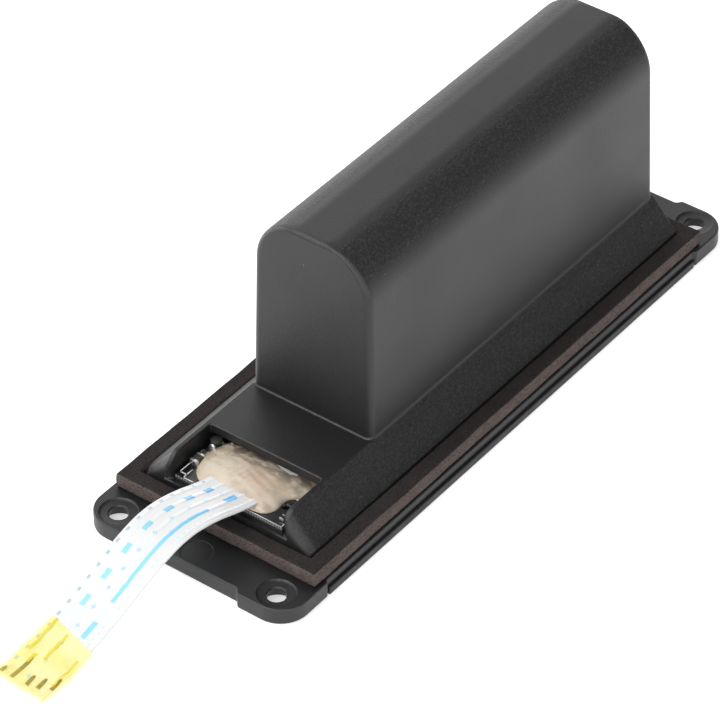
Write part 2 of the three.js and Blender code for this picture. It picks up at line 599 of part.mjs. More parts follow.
// Film wrapped round the ribbon's end and its bare conductors.
function tapeWrap() {
  const route = routeBetween(contactEnd - TAPE.length, contactEnd, 8);
  const inner = RIBBON.thick + 2 * TOUCH;
  const outer = solid(flatStrip(route, inner + 2 * TAPE.thick, TAPE.width, 12));
  const longer = [
    [2 * route[0][0] - route[1][0], 2 * route[0][1] - route[1][1]], ...route,
    [2 * route[7][0] - route[6][0], 2 * route[7][1] - route[6][1]],
  ];
  return surface(cut(outer, flatStrip(longer, inner, TAPE.width - 2 * TAPE.thick, 16)));
}
add('ribbon_tape', tapeWrap(), finish(0xf3e58a, 0.3), ribbonFrame);

for (let i = 0; i < CONTACT.count; i += 1) {
  const offset = (i - (CONTACT.count - 1) / 2) * CONTACT.pitch;
  const strip = flatStrip(routeBetween(ribbonEnd + TOUCH, contactEnd, 4), CONTACT.thick, CONTACT.width, 5);
  add(`ribbon_contact_${i + 1}`, strip.translate(0, offset, 0), finish(0xb0894a, 0.35, 0.8), ribbonFrame);
}

export default model;
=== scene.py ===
# %% [markdown]
# # A built-in rechargeable pack, finished in Blender
# The real object is the pack that screws into the bottom of a small portable device. Two round cells
# lie one over the other in a tall moulded hump, a small board lies in front of them, and a flat
# ribbon cable carries the power out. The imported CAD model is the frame: it fixes every size. Here
# each visible piece gets its real rounding, texture and finish around that frame.

# %% Load the frame
import math

import bmesh
import bpy
import numpy as np
from mathutils import Matrix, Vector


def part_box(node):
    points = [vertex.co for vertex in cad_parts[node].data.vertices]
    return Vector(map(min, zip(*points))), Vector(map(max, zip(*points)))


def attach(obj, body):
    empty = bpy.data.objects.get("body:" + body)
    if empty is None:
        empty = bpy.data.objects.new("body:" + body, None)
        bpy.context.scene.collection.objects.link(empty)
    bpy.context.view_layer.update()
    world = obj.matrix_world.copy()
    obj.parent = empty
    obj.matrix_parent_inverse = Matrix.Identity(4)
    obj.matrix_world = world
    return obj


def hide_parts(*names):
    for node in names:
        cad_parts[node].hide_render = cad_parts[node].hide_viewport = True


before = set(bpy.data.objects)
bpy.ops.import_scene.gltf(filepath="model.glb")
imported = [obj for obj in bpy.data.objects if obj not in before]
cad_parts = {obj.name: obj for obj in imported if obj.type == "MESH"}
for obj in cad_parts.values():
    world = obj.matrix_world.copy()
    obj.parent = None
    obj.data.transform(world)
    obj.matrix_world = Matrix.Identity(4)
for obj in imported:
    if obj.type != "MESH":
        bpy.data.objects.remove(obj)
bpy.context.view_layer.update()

# %% [markdown]
# ## Light and camera
# Small dark products are lit from a white room. A large soft panel behind and above gives the flat
# top its sheen, and a low one behind it brightens the far shoulder. One overhead lights the rounded
# edges, and a long narrow one past the near end draws a line along the rim of the hump. A white
# floor lights the upright walls from below. The rest of the room stays dim, so that the shoulder that
# looks at it stays dark. The camera has a long lens, which keeps the edges of the pack nearly parallel.

# %% Camera
MM = 0.001
CAMERA_PLACE = np.array([-410.436, -305.274, 430.244]) * MM
CAMERA_HEADING = math.radians(37.647)     # from +X towards +Y
CAMERA_DIP = math.radians(39.766)         # below the horizon
CAMERA_TILT = math.radians(0.668)
LENS = 214.24
SENSOR = 36.0


def camera_axes(heading, dip, tilt):
    """Right, up and backward directions: the line of sight from its two angles, then a turn about it."""
    sight = np.array([math.cos(heading) * math.cos(dip), math.sin(heading) * math.cos(dip), -math.sin(dip)])
    level = np.array([math.sin(heading), -math.cos(heading), 0.0])
    upright = np.cross(level, sight)
    right = math.cos(tilt) * level - math.sin(tilt) * upright
    up = math.sin(tilt) * level + math.cos(tilt) * upright
    return right, up, -sight


def placed(columns):
    """A 4 x 4 placing matrix from its four columns: three directions and a place."""
    matrix = np.eye(4)
    matrix[:3] = np.stack(columns, -1)
    return Matrix(matrix.tolist())


camera_data = bpy.data.cameras.new("camera")
camera_data.lens = LENS
camera_data.sensor_width = SENSOR
camera_data.clip_start = 0.01
camera_data.clip_end = 20.0
camera = bpy.data.objects.new("camera", camera_data)
camera.matrix_world = placed([*camera_axes(CAMERA_HEADING, CAMERA_DIP, CAMERA_TILT), CAMERA_PLACE])
bpy.context.scene.collection.objects.link(camera)
bpy.context.scene.camera = camera
print("camera at", np.round(CAMERA_PLACE, 3))

# %% Room and floor
scene = bpy.context.scene
scene.view_settings.view_transform = "Standard"
scene.view_settings.look = "None"
ROOM_GLOW = 0.36
FLOOR_HALF = 4.0
FLOOR_DROP = 0.00006
FLOOR_GLOW = 0.55                         # the sheet is lit from below too, so shadows on it stay pale

room = bpy.data.worlds.new("room")
room.use_nodes = True
room.node_tree.nodes["Background"].inputs["Color"].default_value = (1.0, 1.0, 1.0, 1.0)
room.node_tree.nodes["Background"].inputs["Strength"].default_value = ROOM_GLOW
scene.world = room

floor_corners = [(-FLOOR_HALF, -FLOOR_HALF, -FLOOR_DROP), (FLOOR_HALF, -FLOOR_HALF, -FLOOR_DROP),
                 (FLOOR_HALF, FLOOR_HALF, -FLOOR_DROP), (-FLOOR_HALF, FLOOR_HALF, -FLOOR_DROP)]
floor_mesh = bpy.data.meshes.new("floor")
floor_mesh.from_pydata(floor_corners, [], [(0, 1, 2, 3)])
floor = bpy.data.objects.new("floor", floor_mesh)
scene.collection.objects.link(floor)


# %% Soft panels
def soft_panel(name, direction, distance, width, height, glow):
    """A lamp that faces the pack; its power is pi x area x the brightness that a mirror would show."""
    towards = np.array(direction, float) / np.linalg.norm(direction)
    lamp = bpy.data.lights.new(name, "AREA")
    lamp.shape = "RECTANGLE"
    lamp.size = width
    lamp.size_y = height
    lamp.energy = math.pi * width * height * glow
    panel = bpy.data.objects.new(name, lamp)
    side = np.cross([0.0, 0.0, 1.0], towards)
    side = side / np.linalg.norm(side)
    panel.matrix_world = placed([side, np.cross(towards, side), towards, towards * distance])
    panel.visible_camera = False
    scene.collection.objects.link(panel)


# each has a direction from the pack, then its distance, width and height in metres, and its brightness
soft_panel("back_panel", (0.50, 0.66, 0.58), 1.7, 1.7, 1.2, 0.88)
soft_panel("backdrop_panel", (0.62, 0.78, 0.15), 1.9, 1.9, 0.5, 3.8)
soft_panel("overhead_panel", (-0.45, 0.30, 1.0), 1.8, 1.9, 1.9, 1.5)
soft_panel("key_panel", (-0.78, -0.02, 0.62), 1.7, 2.3, 0.7, 2.3)

# %% [markdown]
# ## Helpers for shapes
# Every new piece is a sheet of points worked out as whole arrays: a closed outline carried through a
# list of levels, or a profile carried along a path. Sizes are written in millimetres, as on a drawing.

# %% Points and faces
def box_of(node):
    """Lowest and highest corner of a CAD node, in millimetres."""
    return tuple(np.array(corner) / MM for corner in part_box(node))


def grid_faces(rows, columns, loop_rows=False, loop_columns=False):
    """Corner numbers of each square of a grid: row x columns + column, and its three neighbours."""
    r, c = np.meshgrid(np.arange(rows if loop_rows else rows - 1),
                       np.arange(columns if loop_columns else columns - 1), indexing="ij")
    r_next, c_next = (r + 1) % rows, (c + 1) % columns
    corners = [r * columns + c, r * columns + c_next, r_next * columns + c_next, r_next * columns + c]
    return np.stack(corners, -1).reshape(-1, 4)


def make_piece(name, points, faces):
    """A smooth-shaded object from points in millimetres, its faces turned outwards."""
    mesh = bpy.data.meshes.new(name)
    in_metres = np.asarray(points, float).reshape(-1, 3) * MM
    mesh.from_pydata(in_metres.tolist(), [], [list(map(int, face)) for face in faces])
    shape = bmesh.new()
    shape.from_mesh(mesh)
    bmesh.ops.recalc_face_normals(shape, faces=shape.faces)
    shape.to_mesh(mesh)
    shape.free()
    mesh.polygons.foreach_set("use_smooth", np.ones(len(mesh.polygons), bool))
    piece = bpy.data.objects.new(name, mesh)
    scene.collection.objects.link(piece)
    return piece


def loft(name, levels):
    """Closed outlines (level, point, xyz) joined one to the next, with a flat lid on both ends."""
    rows, columns = levels.shape[:2]
    faces = grid_faces(rows, columns, loop_columns=True).tolist()
    faces.append(list(range(columns)))
    faces.append([(rows - 1) * columns + i for i in range(columns)])
    return make_piece(name, levels, faces)


def prism(name, outline, low, high, axis=2):
    """A flat outline drawn out along one axis, from low to high; it holds the other two, in order."""
    outline = np.asarray(outline, float)
    ends = [np.insert(outline, axis, end, axis=1) for end in (low, high)]
    return loft(name, np.stack(ends))


def block(name, x, y, z):
    """The six faces between two values on each axis."""
    return prism(name, [(x[0], y[0]), (x[1], y[0]), (x[1], y[1]), (x[0], y[1])], z[0], z[1])


def turned(name, profile, middle, sides=48):
    """A profile of (radius, height) turned round an upright axis."""
    profile = np.asarray(profile, float)
    angle = np.arange(sides) * 2 * math.pi / sides
    radius, height = profile[:, :1], profile[:, 1:]
    rings = np.stack([middle[0] + radius * np.cos(angle), middle[1] + radius * np.sin(angle),
                      height + 0 * angle], -1)
    return loft(name, rings)


def four_ways(quarter):
    """A quarter of an outline and its three mirrors, in order round the middle."""
    return np.vstack([quarter, quarter[::-1] * [-1, 1], quarter * [-1, -1], quarter[::-1] * [1, -1]])


def both_sides(right):
    """The right half of a section and its mirror, in order."""
    return np.vstack([right, right[::-1] * [-1, 1]])


# %% Modifiers
def settle(piece):
    """Replaces a piece's mesh by what its modifiers make of it."""
    graph = bpy.context.evaluated_depsgraph_get()
    mesh = bpy.data.meshes.new_from_object(piece.evaluated_get(graph))
    piece.modifiers.clear()
    piece.data = mesh
    return piece


def combine(piece, tool, operation="DIFFERENCE"):
    """Takes a closed tool away from a closed piece, or joins it on, and removes the tool."""
    step = piece.modifiers.new("combine", "BOOLEAN")
    step.operation = operation
    step.solver = "EXACT"
    step.object = tool
    settle(piece)
    bpy.data.objects.remove(tool)


def rounded(piece, width, limit=30.0):
    """Rounds every edge that turns by more than the limit, in degrees; width is in millimetres."""
    step = piece.modifiers.new("rounded", "BEVEL")
    step.width = width * MM
    step.segments = 3
    step.limit_method = "ANGLE"
    step.angle_limit = math.radians(limit)
    step.use_clamp_overlap = False
    step.miter_outer = "MITER_ARC"
    return settle(piece)


def keep_flats_flat(piece, weight):
    """Smooth shading up to 32 degrees, with normals that follow the large faces; this one stays live."""
    piece.data.polygons.foreach_set("use_smooth", np.ones(len(piece.data.polygons), bool))
    piece.data.set_sharp_from_angle(angle=math.radians(32.0))
    step = piece.modifiers.new("flat_faces", "WEIGHTED_NORMAL")
    step.keep_sharp = True
    step.weight = weight


# %% [markdown]
# ## Helpers for finishes
# A finish is a small network: coordinates go in, a few patterns are mixed, and colour, roughness and
# bump come out. The helper below only shortens the writing of such a network. Pattern scales are per
# metre, so a noise of scale 1000 has grains of about a millimetre.

# %% Finish networks
class Finish:
    """A material whose nodes are added one call at a time; values in a call may be numbers or sockets."""

    def __init__(self, name, color, roughness, **constants):
        self.material = bpy.data.materials.new(name)
        self.material.use_nodes = True
        self.tree = self.material.node_tree
        self.shader = self.tree.nodes["Principled BSDF"]
        self.shader.inputs["Base Color"].default_value = (*color, 1.0)
        self.shader.inputs["Roughness"].default_value = roughness
        for socket, value in constants.items():
            self.shader.inputs[socket.replace("_", " ")].default_value = value
        self.place = self.node("ShaderNodeTexCoord").outputs["Object"]
        self.facing = self.node("ShaderNodeTexCoord").outputs["Normal"]

    def node(self, kind, **settings):
        made = self.tree.nodes.new(kind)
        for key, value in settings.items():
            setattr(made, key, value)
        return made

    def feed(self, socket, value):
        if isinstance(value, bpy.types.NodeSocket):
            self.tree.links.new(value, socket)
        elif isinstance(value, (tuple, list)) and len(value) == 3 and socket.type == "RGBA":
            socket.default_value = (*value, 1.0)
        else:
            socket.default_value = value

    def set(self, socket, value):
        self.feed(self.shader.inputs[socket], value)

    def math(self, operation, first, second=0.0, clamp=False):
        made = self.node("ShaderNodeMath", operation=operation, use_clamp=clamp)
        for socket, value in zip(made.inputs, (first, second)):
            self.feed(socket, value)
        return made.outputs[0]

    def times(self, first, second):
        return self.math("MULTIPLY", first, second)

    def plus(self, first, second):
        return self.math("ADD", first, second)

    def minus(self, first, second):
        return self.math("SUBTRACT", first, second)

    def span(self, value, low, high, to_low=0.0, to_high=1.0):
        """A smooth step of value from low to high."""
        made = self.node("ShaderNodeMapRange", interpolation_type="SMOOTHSTEP")
        for key, number in zip(("Value", "From Min", "From Max", "To Min", "To Max"),
                               (value, low, high, to_low, to_high)):
            self.feed(made.inputs[key], number)
        return made.outputs["Result"]

    def band(self, value, middle, half, soft):
        """1 where value is within half of middle, falling to 0 over soft."""
        away = self.math("ABSOLUTE", self.minus(value, middle))
        return self.span(away, half, half + soft, 1.0, 0.0)

    def mix(self, share, first, second):
        """The first colour where share is 0, the second where it is 1."""
        made = self.node("ShaderNodeMix", data_type="RGBA")
        self.feed(made.inputs[0], share)
        self.feed(made.inputs[6], first)
        self.feed(made.inputs[7], second)
        return made.outputs[2]

    def lay(self, base, share, strength, color):
        """The color over the base where share is 1, as thick as the strength says."""
        return self.mix(self.times(share, strength), base, color)

    def blend(self, share, first, second):
        """The first number where share is 0, the second where it is 1."""
        made = self.node("ShaderNodeMix", data_type="FLOAT")
        self.feed(made.inputs[0], share)
        self.feed(made.inputs[2], first)
        self.feed(made.inputs[3], second)
        return made.outputs[0]

    def stretch(self, scale):
        """The place on the piece, scaled by another number along each axis."""
        made = self.node("ShaderNodeMapping")
        self.feed(made.inputs["Vector"], self.place)
        made.inputs["Scale"].default_value = scale
        return made.outputs[0]

    def noise(self, scale, detail=3.0, where=None, rough=0.5):
        made = self.node("ShaderNodeTexNoise")
        self.feed(made.inputs["Vector"], where or self.place)
        made.inputs["Scale"].default_value = scale
        made.inputs["Detail"].default_value = detail
        made.inputs["Roughness"].default_value = rough
        return made.outputs["Fac"]

    def cells(self, scale, where=None, feature="F1"):
        """Distance in a pattern of rounded cells, and each cell's own number as a colour."""
        made = self.node("ShaderNodeTexVoronoi", feature=feature)
        self.feed(made.inputs["Vector"], where or self.place)
        made.inputs["Scale"].default_value = scale
        return made.outputs["Distance"], made.outputs["Color"] if feature == "F1" else None

    def axis(self, vector, name):
        made = self.node("ShaderNodeSeparateXYZ")
        self.feed(made.inputs[0], vector)
        return made.outputs[name]

    def own(self, name):
        """A value kept with the piece's points."""
        return self.node("ShaderNodeAttribute", attribute_name=name).outputs["Fac"]

    def bump(self, height, strength, depth):
        """Height from 0 to 1 stands for depth in millimetres."""
        made = self.node("ShaderNodeBump")
        made.inputs["Strength"].default_value = strength
        made.inputs["Distance"].default_value = depth * MM
        self.feed(made.inputs["Height"], height)
        self.tree.links.new(made.outputs["Normal"], self.shader.inputs["Normal"])

    def specks(self, scale, radius, share):
        """Small round dots: near a cell's middle, and only in that share of the cells."""
        distance, number = self.cells(scale)
        dot = self.span(distance, radius * MM * scale * 0.5, radius * MM * scale, 1.0, 0.0)
        chosen = self.math("GREATER_THAN", self.axis(number, "X"), 1.0 - share)
        return self.times(dot, chosen)

    def mottle(self, pattern, dark, light):
        """The colour goes from dark to light with the pattern."""
        self.set("Base Color", self.mix(pattern, dark, light))

    def gloss(self, pattern, least, most):
        """The roughness goes from least to most over the middle of the pattern."""
        self.set("Roughness", self.span(pattern, 0.3, 0.7, least, most))


def dress(piece, finish, stands_for=()):
    """Gives a piece its finish and body, and hides the CAD nodes that it stands for."""
    piece.data.materials.clear()
    piece.data.materials.append(finish.material)
    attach(piece, "root")
    if stands_for:
        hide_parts(*stands_for)
    print(piece.name, len(piece.data.polygons), "faces")
    return piece


paper = Finish("floor_paper", (0.93, 0.93, 0.93), 0.9)
paper.mottle(paper.noise(3.0), (0.92, 0.92, 0.92), (0.94, 0.94, 0.94))
paper.set("Emission Color", (1.0, 1.0, 1.0))
paper.set("Emission Strength", FLOOR_GLOW)
floor_mesh.materials.append(paper.material)

# %% [markdown]
# ## The ribbon cable
# The cable is a flat laminate: five copper conductors between two white films, printed with pale blue
# dashes. It leaves the glue on the board, arches over the end of the pack and comes down close to
# the floor, where its bare end is wrapped in yellow film. Its route is a line of points in an upright
# plane; a smooth curve through them gives the middle, and a thin closed section is carried along it.

# %% The route of the ribbon
RIBBON_TURN = np.array([-44.7, 0.0, 0.0])     # the route's zero, where its plane is turned
RIBBON_YAW = math.radians(5.1)
RIBBON_WIDTH = 9.4
RIBBON_THICK = 0.3
RIBBON_ROUTE = np.array([
    [-8.6, 8.2], [-6.5, 8.2], [-4.4, 8.2], [-2.2, 8.25], [0.0, 8.4], [2.5, 8.85], [5.0, 9.5], [8.0, 10.4],
    [11.0, 11.05], [14.0, 11.3], [17.0, 10.95], [20.0, 10.0], [23.0, 8.7], [26.0, 7.25], [29.0, 5.8],
    [32.0, 4.45], [35.0, 3.25], [38.0, 2.25], [42.2, 1.25], [44.1, 0.95], [45.8, 0.8]])
PAST_TIP = 2.0                                # the film round the end goes on a little, straight


def smooth_route(points, steps):
    """A Catmull-Rom curve: each span bends by the slope between the two points around each of its ends."""
    before = np.vstack([2 * points[0] - points[1], points[:-1]])[:-1]
    start, end = points[:-1], points[1:]
    after = np.vstack([points[2:], 2 * points[-1] - points[-2]])
    t = (np.arange(steps) / steps)[None, :, None]
    p0, p1, p2, p3 = (p[:, None, :] for p in (before, start, end, after))
    curve = 0.5 * (2 * p1 + (p2 - p0) * t + (2 * p0 - 5 * p1 + 4 * p2 - p3) * t ** 2
                   + (3 * p1 - p0 - 3 * p2 + p3) * t ** 3)
    return np.vstack([curve.reshape(-1, points.shape[1]), points[-1]])


fine_route = smooth_route(RIBBON_ROUTE, 10)
step_length = np.hypot(*np.diff(fine_route, axis=0).T)
arc = np.concatenate([[0.0], np.cumsum(step_length)])
TIP = float(arc[-1])
arc_zero = float(np.interp(0.0, fine_route[:, 0], arc))       # where the ribbon leaves the glue
last_way = (fine_route[-1] - fine_route[-2]) / step_length[-1]
long_route = np.vstack([fine_route, fine_route[-1] + PAST_TIP * last_way])
long_arc = np.append(arc, TIP + PAST_TIP)
print("ribbon length to the tip of its conductors", round(TIP, 2), "mm")

# %% A strip carried along the route
SLOPE_REACH = 0.4                             # the slope is taken between two points this far off
CONDUCTOR_PITCH = 1.9
along_axis = np.array([-math.cos(RIBBON_YAW), math.sin(RIBBON_YAW), 0.0])
across_axis = np.array([math.sin(RIBBON_YAW), math.cos(RIBBON_YAW), 0.0])


def on_ribbon(distance, across, lift):
    """Points at a distance along the route, across it, and lifted square to it; all arrays of one shape."""
    along, height = (np.interp(distance, long_arc, line) for line in long_route.T)
    slope_along, slope_height = (np.interp(distance + SLOPE_REACH, long_arc, line)
                                 - np.interp(distance - SLOPE_REACH, long_arc, line) for line in long_route.T)
    size = np.hypot(slope_along, slope_height)
    along = along - lift * slope_height / size
    height = height + lift * slope_along / size
    return (RIBBON_TURN + along[..., None] * along_axis + np.asarray(across)[..., None] * across_axis
            + height[..., None] * np.array([0.0, 0.0, 1.0]))


def over_conductors(across, reach):
    """A cos^2 hill over each conductor, and nothing past the reach."""
    return np.maximum(0.0, np.cos(2 * math.pi * across / CONDUCTOR_PITCH)) ** 2 * (np.abs(across) < reach)


def flat_section(width, thick, count, ridges=0.0):
    """A closed section as (across, lift): straight faces, round edges, and a ridge over each conductor."""
    half = width / 2 - thick / 2
    line = np.linspace(-half, half, count)
    hill = ridges * over_conductors(line, 2.5 * CONDUCTOR_PITCH)
    turn = np.linspace(math.pi / 2, -math.pi / 2, 7)[1:-1]
    far = np.stack([half + thick / 2 * np.cos(turn), thick / 2 * np.sin(turn)], -1)
    top = np.stack([line, thick / 2 + hill], -1)
    bottom = np.stack([line[::-1], -thick / 2 - 0 * line], -1)
    return np.vstack([top, far, bottom, far[::-1] * [-1, 1]])


def keep_places(piece, distance, across):
    """Keeps with each point its distance from the glue and its place across, for the print to read."""
    for key, values in (("along", distance - arc_zero), ("across", across)):
        field = piece.data.attributes.new(key, "FLOAT", "POINT")
        field.data.foreach_set("value", values.ravel().astype(np.float32))


def strip_along(name, start, end, rows, section, wave):
    """The section carried from start to end along the route, and moved there by the wave."""
    distance = np.linspace(start, end, rows)[:, None] + 0 * section[None, :, 0]
    across = section[None, :, 0] + 0 * distance
    lift = section[None, :, 1] + 0 * distance
    distance, across, lift = wave(distance, across, lift)
    piece = loft(name, on_ribbon(distance, across, lift))
    keep_places(piece, distance, across)
    return piece


# %% The film of the ribbon
RIDGE = 0.05
SWELL, SWELL_RUN, SWELL_REACH = 0.15, 1.1, 4.6


def swollen(distance, across, lift):
    """Over each conductor the film swells where it goes into the glue: cos^2 across x a bell along."""
    bell = np.exp(-((distance - arc_zero) / SWELL_RUN) ** 2)
    return distance, across, lift + SWELL * over_conductors(across, SWELL_REACH) * bell * (lift > 0)


ribbon_section = flat_section(RIBBON_WIDTH, RIBBON_THICK, 61, ridges=RIDGE)
ribbon = strip_along("ribbon_cable_film", 0.0, TIP, 190, ribbon_section, swollen)

# %% [markdown]
# ## The ribbon's print
# The print runs along the cable in rows, so its pattern reads the distance along the ribbon and the
# place across it, which the mesh keeps with its points. Dashes, ticks and crosses are products of two
# bands: one along, one across. Ink spreads a little, so a fine noise moves every edge. Nothing on it
# is lettering.

# %% Helpers for print
def uneven_places(finish, scale, detail, amount):
    """The distance along and the place across, both moved to and fro by one noise."""
    shift = finish.times(finish.minus(finish.noise(scale, detail), 0.5), amount)
    return finish.plus(finish.own("along"), shift), finish.plus(finish.own("across"), shift)


def to_nearest(finish, value, pitch, start):
    """Distance to the nearest of evenly spaced marks."""
    shifted = finish.minus(value, start)
    whole = finish.times(finish.math("ROUND", finish.math("DIVIDE", shifted, pitch)), pitch)
    return finish.math("ABSOLUTE", finish.minus(shifted, whole))


def dash_row(finish, where, middle, half_width, pitch, start, half_length, soft=0.12):
    """A row of equal dashes: near a mark along, and near the row across."""
    away = to_nearest(finish, where[0], pitch, start)
    near_mark = finish.span(away, half_length, half_length + soft, 1.0, 0.0)
    return finish.times(near_mark, finish.band(where[1], middle, half_width, soft))


def long_dash(finish, where, middle, half_width, start, end, soft=0.15):
    """One dash from start to end."""
    inside = finish.band(where[0], (start + end) / 2, (end - start) / 2, soft)
    return finish.times(inside, finish.band(where[1], middle, half_width, soft))


# %% Rows of dashes, lines, ticks and crosses
film = Finish("ribbon_film", (0.93, 0.95, 0.96), 0.34, Coat_Weight=0.25, Coat_Roughness=0.15)
along, across = film.own("along"), film.own("across")
printed_at = uneven_places(film, 900.0, 2.0, 0.35)

# Dash n of the broad row lies at start + gap n + growth n^2, so n comes from the root of that.
DASH_START, DASH_GAP, DASH_GROWTH = 0.2, 4.0, 0.07
LAST_DASH = 33.2
past_start = film.math("MAXIMUM", film.minus(printed_at[0], DASH_START), 0.0)
under_root = film.plus(film.times(past_start, 4 * DASH_GROWTH), DASH_GAP ** 2)
dash_count = film.math("DIVIDE", film.minus(film.math("SQRT", under_root), DASH_GAP), 2 * DASH_GROWTH)
dashes = film.span(to_nearest(film, dash_count, 1.0, 0.0), 0.17, 0.22, 1.0, 0.0)
dashes = film.times(dashes, film.band(printed_at[1], 2.0, 0.36, 0.2))
dashes = film.times(dashes, film.span(along, LAST_DASH, LAST_DASH + 0.2, 1.0, 0.0))

lines = film.plus(long_dash(film, printed_at, middle=-1.9, half_width=0.26, start=8.6, end=29.8),
                  long_dash(film, printed_at, middle=-1.9, half_width=0.36, start=33.7, end=36.6))
lines = film.plus(lines, long_dash(film, printed_at, middle=-1.5, half_width=0.42, start=2.1, end=4.4))
ticks = dash_row(film, printed_at, middle=4.05, half_width=0.13, pitch=2.3, start=0.9, half_length=0.22,
                 soft=0.22)
CROSS_ROW = {"middle": 0.15, "pitch": 3.55, "start": -0.1, "soft": 0.16}
crosses = film.math("MAXIMUM", dash_row(film, printed_at, half_width=0.05, half_length=0.34, **CROSS_ROW),
                    dash_row(film, printed_at, half_width=0.30, half_length=0.06, **CROSS_ROW))
faint = dash_row(film, printed_at, middle=-3.45, half_width=0.12, pitch=1.15, start=0.3, half_length=0.16,
                 soft=0.14)
faint = film.times(faint, film.span(film.noise(420.0, 2.0), 0.35, 0.60, 0.15, 1.0))

# %% White film and blue ink
DASH_BLUE, FADED_BLUE, PALE_BLUE = (0.14, 0.50, 0.88), (0.36, 0.78, 0.90), (0.30, 0.74, 0.92)
WRAP_EDGE, WRAP_SLANT = 36.8, 0.19            # past this slanting edge the yellow wrap tints the film
white = film.mix(film.noise(260.0, 3.0), (0.82, 0.83, 0.84), (0.88, 0.88, 0.88))
between = to_nearest(film, across, CONDUCTOR_PITCH, CONDUCTOR_PITCH / 2)
white = film.mix(film.span(between, 0.0, 0.35, 0.86, 1.0), (0.72, 0.74, 0.75), white)
blotches = film.times(film.span(film.noise(640.0, 2.0), 0.56, 0.66), film.band(across, 0.0, 4.2, 0.4))
white = film.lay(white, blotches, 0.5, (0.80, 0.92, 0.94))
wrapped = film.span(film.plus(along, film.times(across, WRAP_SLANT)), WRAP_EDGE, WRAP_EDGE + 0.3)
white = film.mix(wrapped, white, film.mix(film.noise(380.0, 3.0), (1.0, 0.97, 0.42), (1.0, 0.93, 0.62)))

dash_ink = film.mix(film.span(along, 2.0, 26.0), DASH_BLUE, FADED_BLUE)
line_ink = film.mix(film.span(along, 5.0, 22.0), DASH_BLUE, PALE_BLUE)
printed = film.mix(film.math("MINIMUM", dashes, 1.0), white, dash_ink)
printed = film.mix(film.math("MINIMUM", lines, 1.0), printed, line_ink)
printed = film.lay(printed, ticks, 0.7, (0.30, 0.46, 0.56))
printed = film.lay(printed, crosses, 0.65, (0.30, 0.66, 0.82))
printed = film.lay(printed, faint, 0.35, (0.40, 0.64, 0.72))
printed = film.mix(film.specks(160.0, 0.14, 0.008), printed, (0.10, 0.09, 0.09))
film.set("Base Color", printed)
film.gloss(film.noise(1500.0, 2.0), 0.28, 0.42)
film.bump(film.noise(2500.0, 2.0), 0.15, 0.02)
dress(ribbon, film, ["ribbon_cable"])

# %% [markdown]
# ## The film round the ribbon's end
# Strips of thin yellow film keep the bare conductors from touching anything. The film is see-through
# and a little wider than the ribbon; it goes all the way round, it is creased lengthwise, and where
# it doubles over itself the yellow is deeper. It is one closed tube: an outer and an inner section.

# %% Yellow film wrap
TAPE_WIDTH, TAPE_THICK, TAPE_WALL = 10.6, 0.68, 0.06
TAPE_OVERHANG = 0.7
TAPE_SKEW = 1.6                               # the wrap's start is cut askew by this much
TAPE_START = float(np.interp(34.2, fine_route[:, 0], arc))
TAPE_ROWS = 70
TAPE_FOLDS = ((0.16, 3.5, 0.28), (0.13, 0.3, 0.25), (0.12, -3.9, 0.3))     # height, middle, width
FLOOR_CLEARANCE = 0.05


def taped(section):
    """The section carried along the wrap: skewed and ragged at its ends, lifted by folds and slow waves."""
    share = np.linspace(0.0, 1.0, TAPE_ROWS)[:, None]
    across = section[None, :, 0] + 0 * share
    above = section[None, :, 1] > 0
    skew = TAPE_SKEW * (0.5 - across / TAPE_WIDTH) * (1.0 - share)
    ragged = 0.18 * np.sin(across * 2.3) * (share - 0.5) + 0.10 * np.sin(across * 5.9 + 1.0)
    distance = TAPE_START + (TIP + TAPE_OVERHANG - TAPE_START) * share
    distance = distance + skew + ragged * np.where(share < 0.5, 1.0, 0.6)
    folds = sum(height * np.exp(-((across - middle) / width) ** 2) for height, middle, width in TAPE_FOLDS)
    folds = folds * np.sin(math.pi * share) ** 0.5
    waves = 0.07 * np.sin(distance * 1.3 + across * 0.9) + 0.05 * np.sin(across * 2.7 - distance * 0.7)
    lift = section[None, :, 1] + np.where(above, folds + np.maximum(waves, -0.02), 0.0)
    return distance, across * (1.0 + 0.012 * np.sin(distance * 1.1)), lift


outer = taped(flat_section(TAPE_WIDTH, TAPE_THICK, 49))
inner = taped(flat_section(TAPE_WIDTH - 2 * TAPE_WALL, TAPE_THICK - 2 * TAPE_WALL, 49))
tape_distance, tape_across, tape_lift = (np.concatenate([out, back[::-1]]) for out, back in zip(outer, inner))
tape_points = on_ribbon(tape_distance, tape_across, tape_lift)
tape_points[..., 2] = np.maximum(tape_points[..., 2], FLOOR_CLEARANCE)
tape = make_piece("ribbon_tape_wrap", tape_points,
                  grid_faces(*tape_distance.shape, loop_rows=True, loop_columns=True))
keep_places(tape, tape_distance, tape_across)

# %% Yellow film finish
CREASES = ((3.55, 0.15, 36.0, 42.4), (0.35, 0.16, 37.6, 42.6), (-4.1, 0.08, 40.0, 45.6),
           (2.0, 0.20, 42.6, 44.2))           # middle, half width, start, end
wrap = Finish("yellow_film", (0.97, 0.88, 0.22), 0.16, Coat_Weight=0.3, Coat_Roughness=0.08)
creased_at = uneven_places(wrap, 600.0, 3.0, 0.7)
deep = wrap.times(wrap.span(creased_at[1], 4.3, 5.2), 0.12)
deep = wrap.math("MAXIMUM", deep, wrap.times(wrap.span(creased_at[1], -4.4, -5.2), 0.12))
for crease in CREASES:
    deep = wrap.math("MAXIMUM", deep, long_dash(wrap, creased_at, *crease))
shade = wrap.mix(wrap.noise(350.0, 3.0), (1.0, 0.94, 0.10), (1.0, 0.90, 0.26))
wrap.mottle(deep, shade, (0.96, 0.80, 0.01))
single = wrap.span(wrap.noise(240.0, 2.0), 0.38, 0.62, 0.06, 0.17)
wrap.set("Alpha", wrap.blend(deep, single, 0.55))
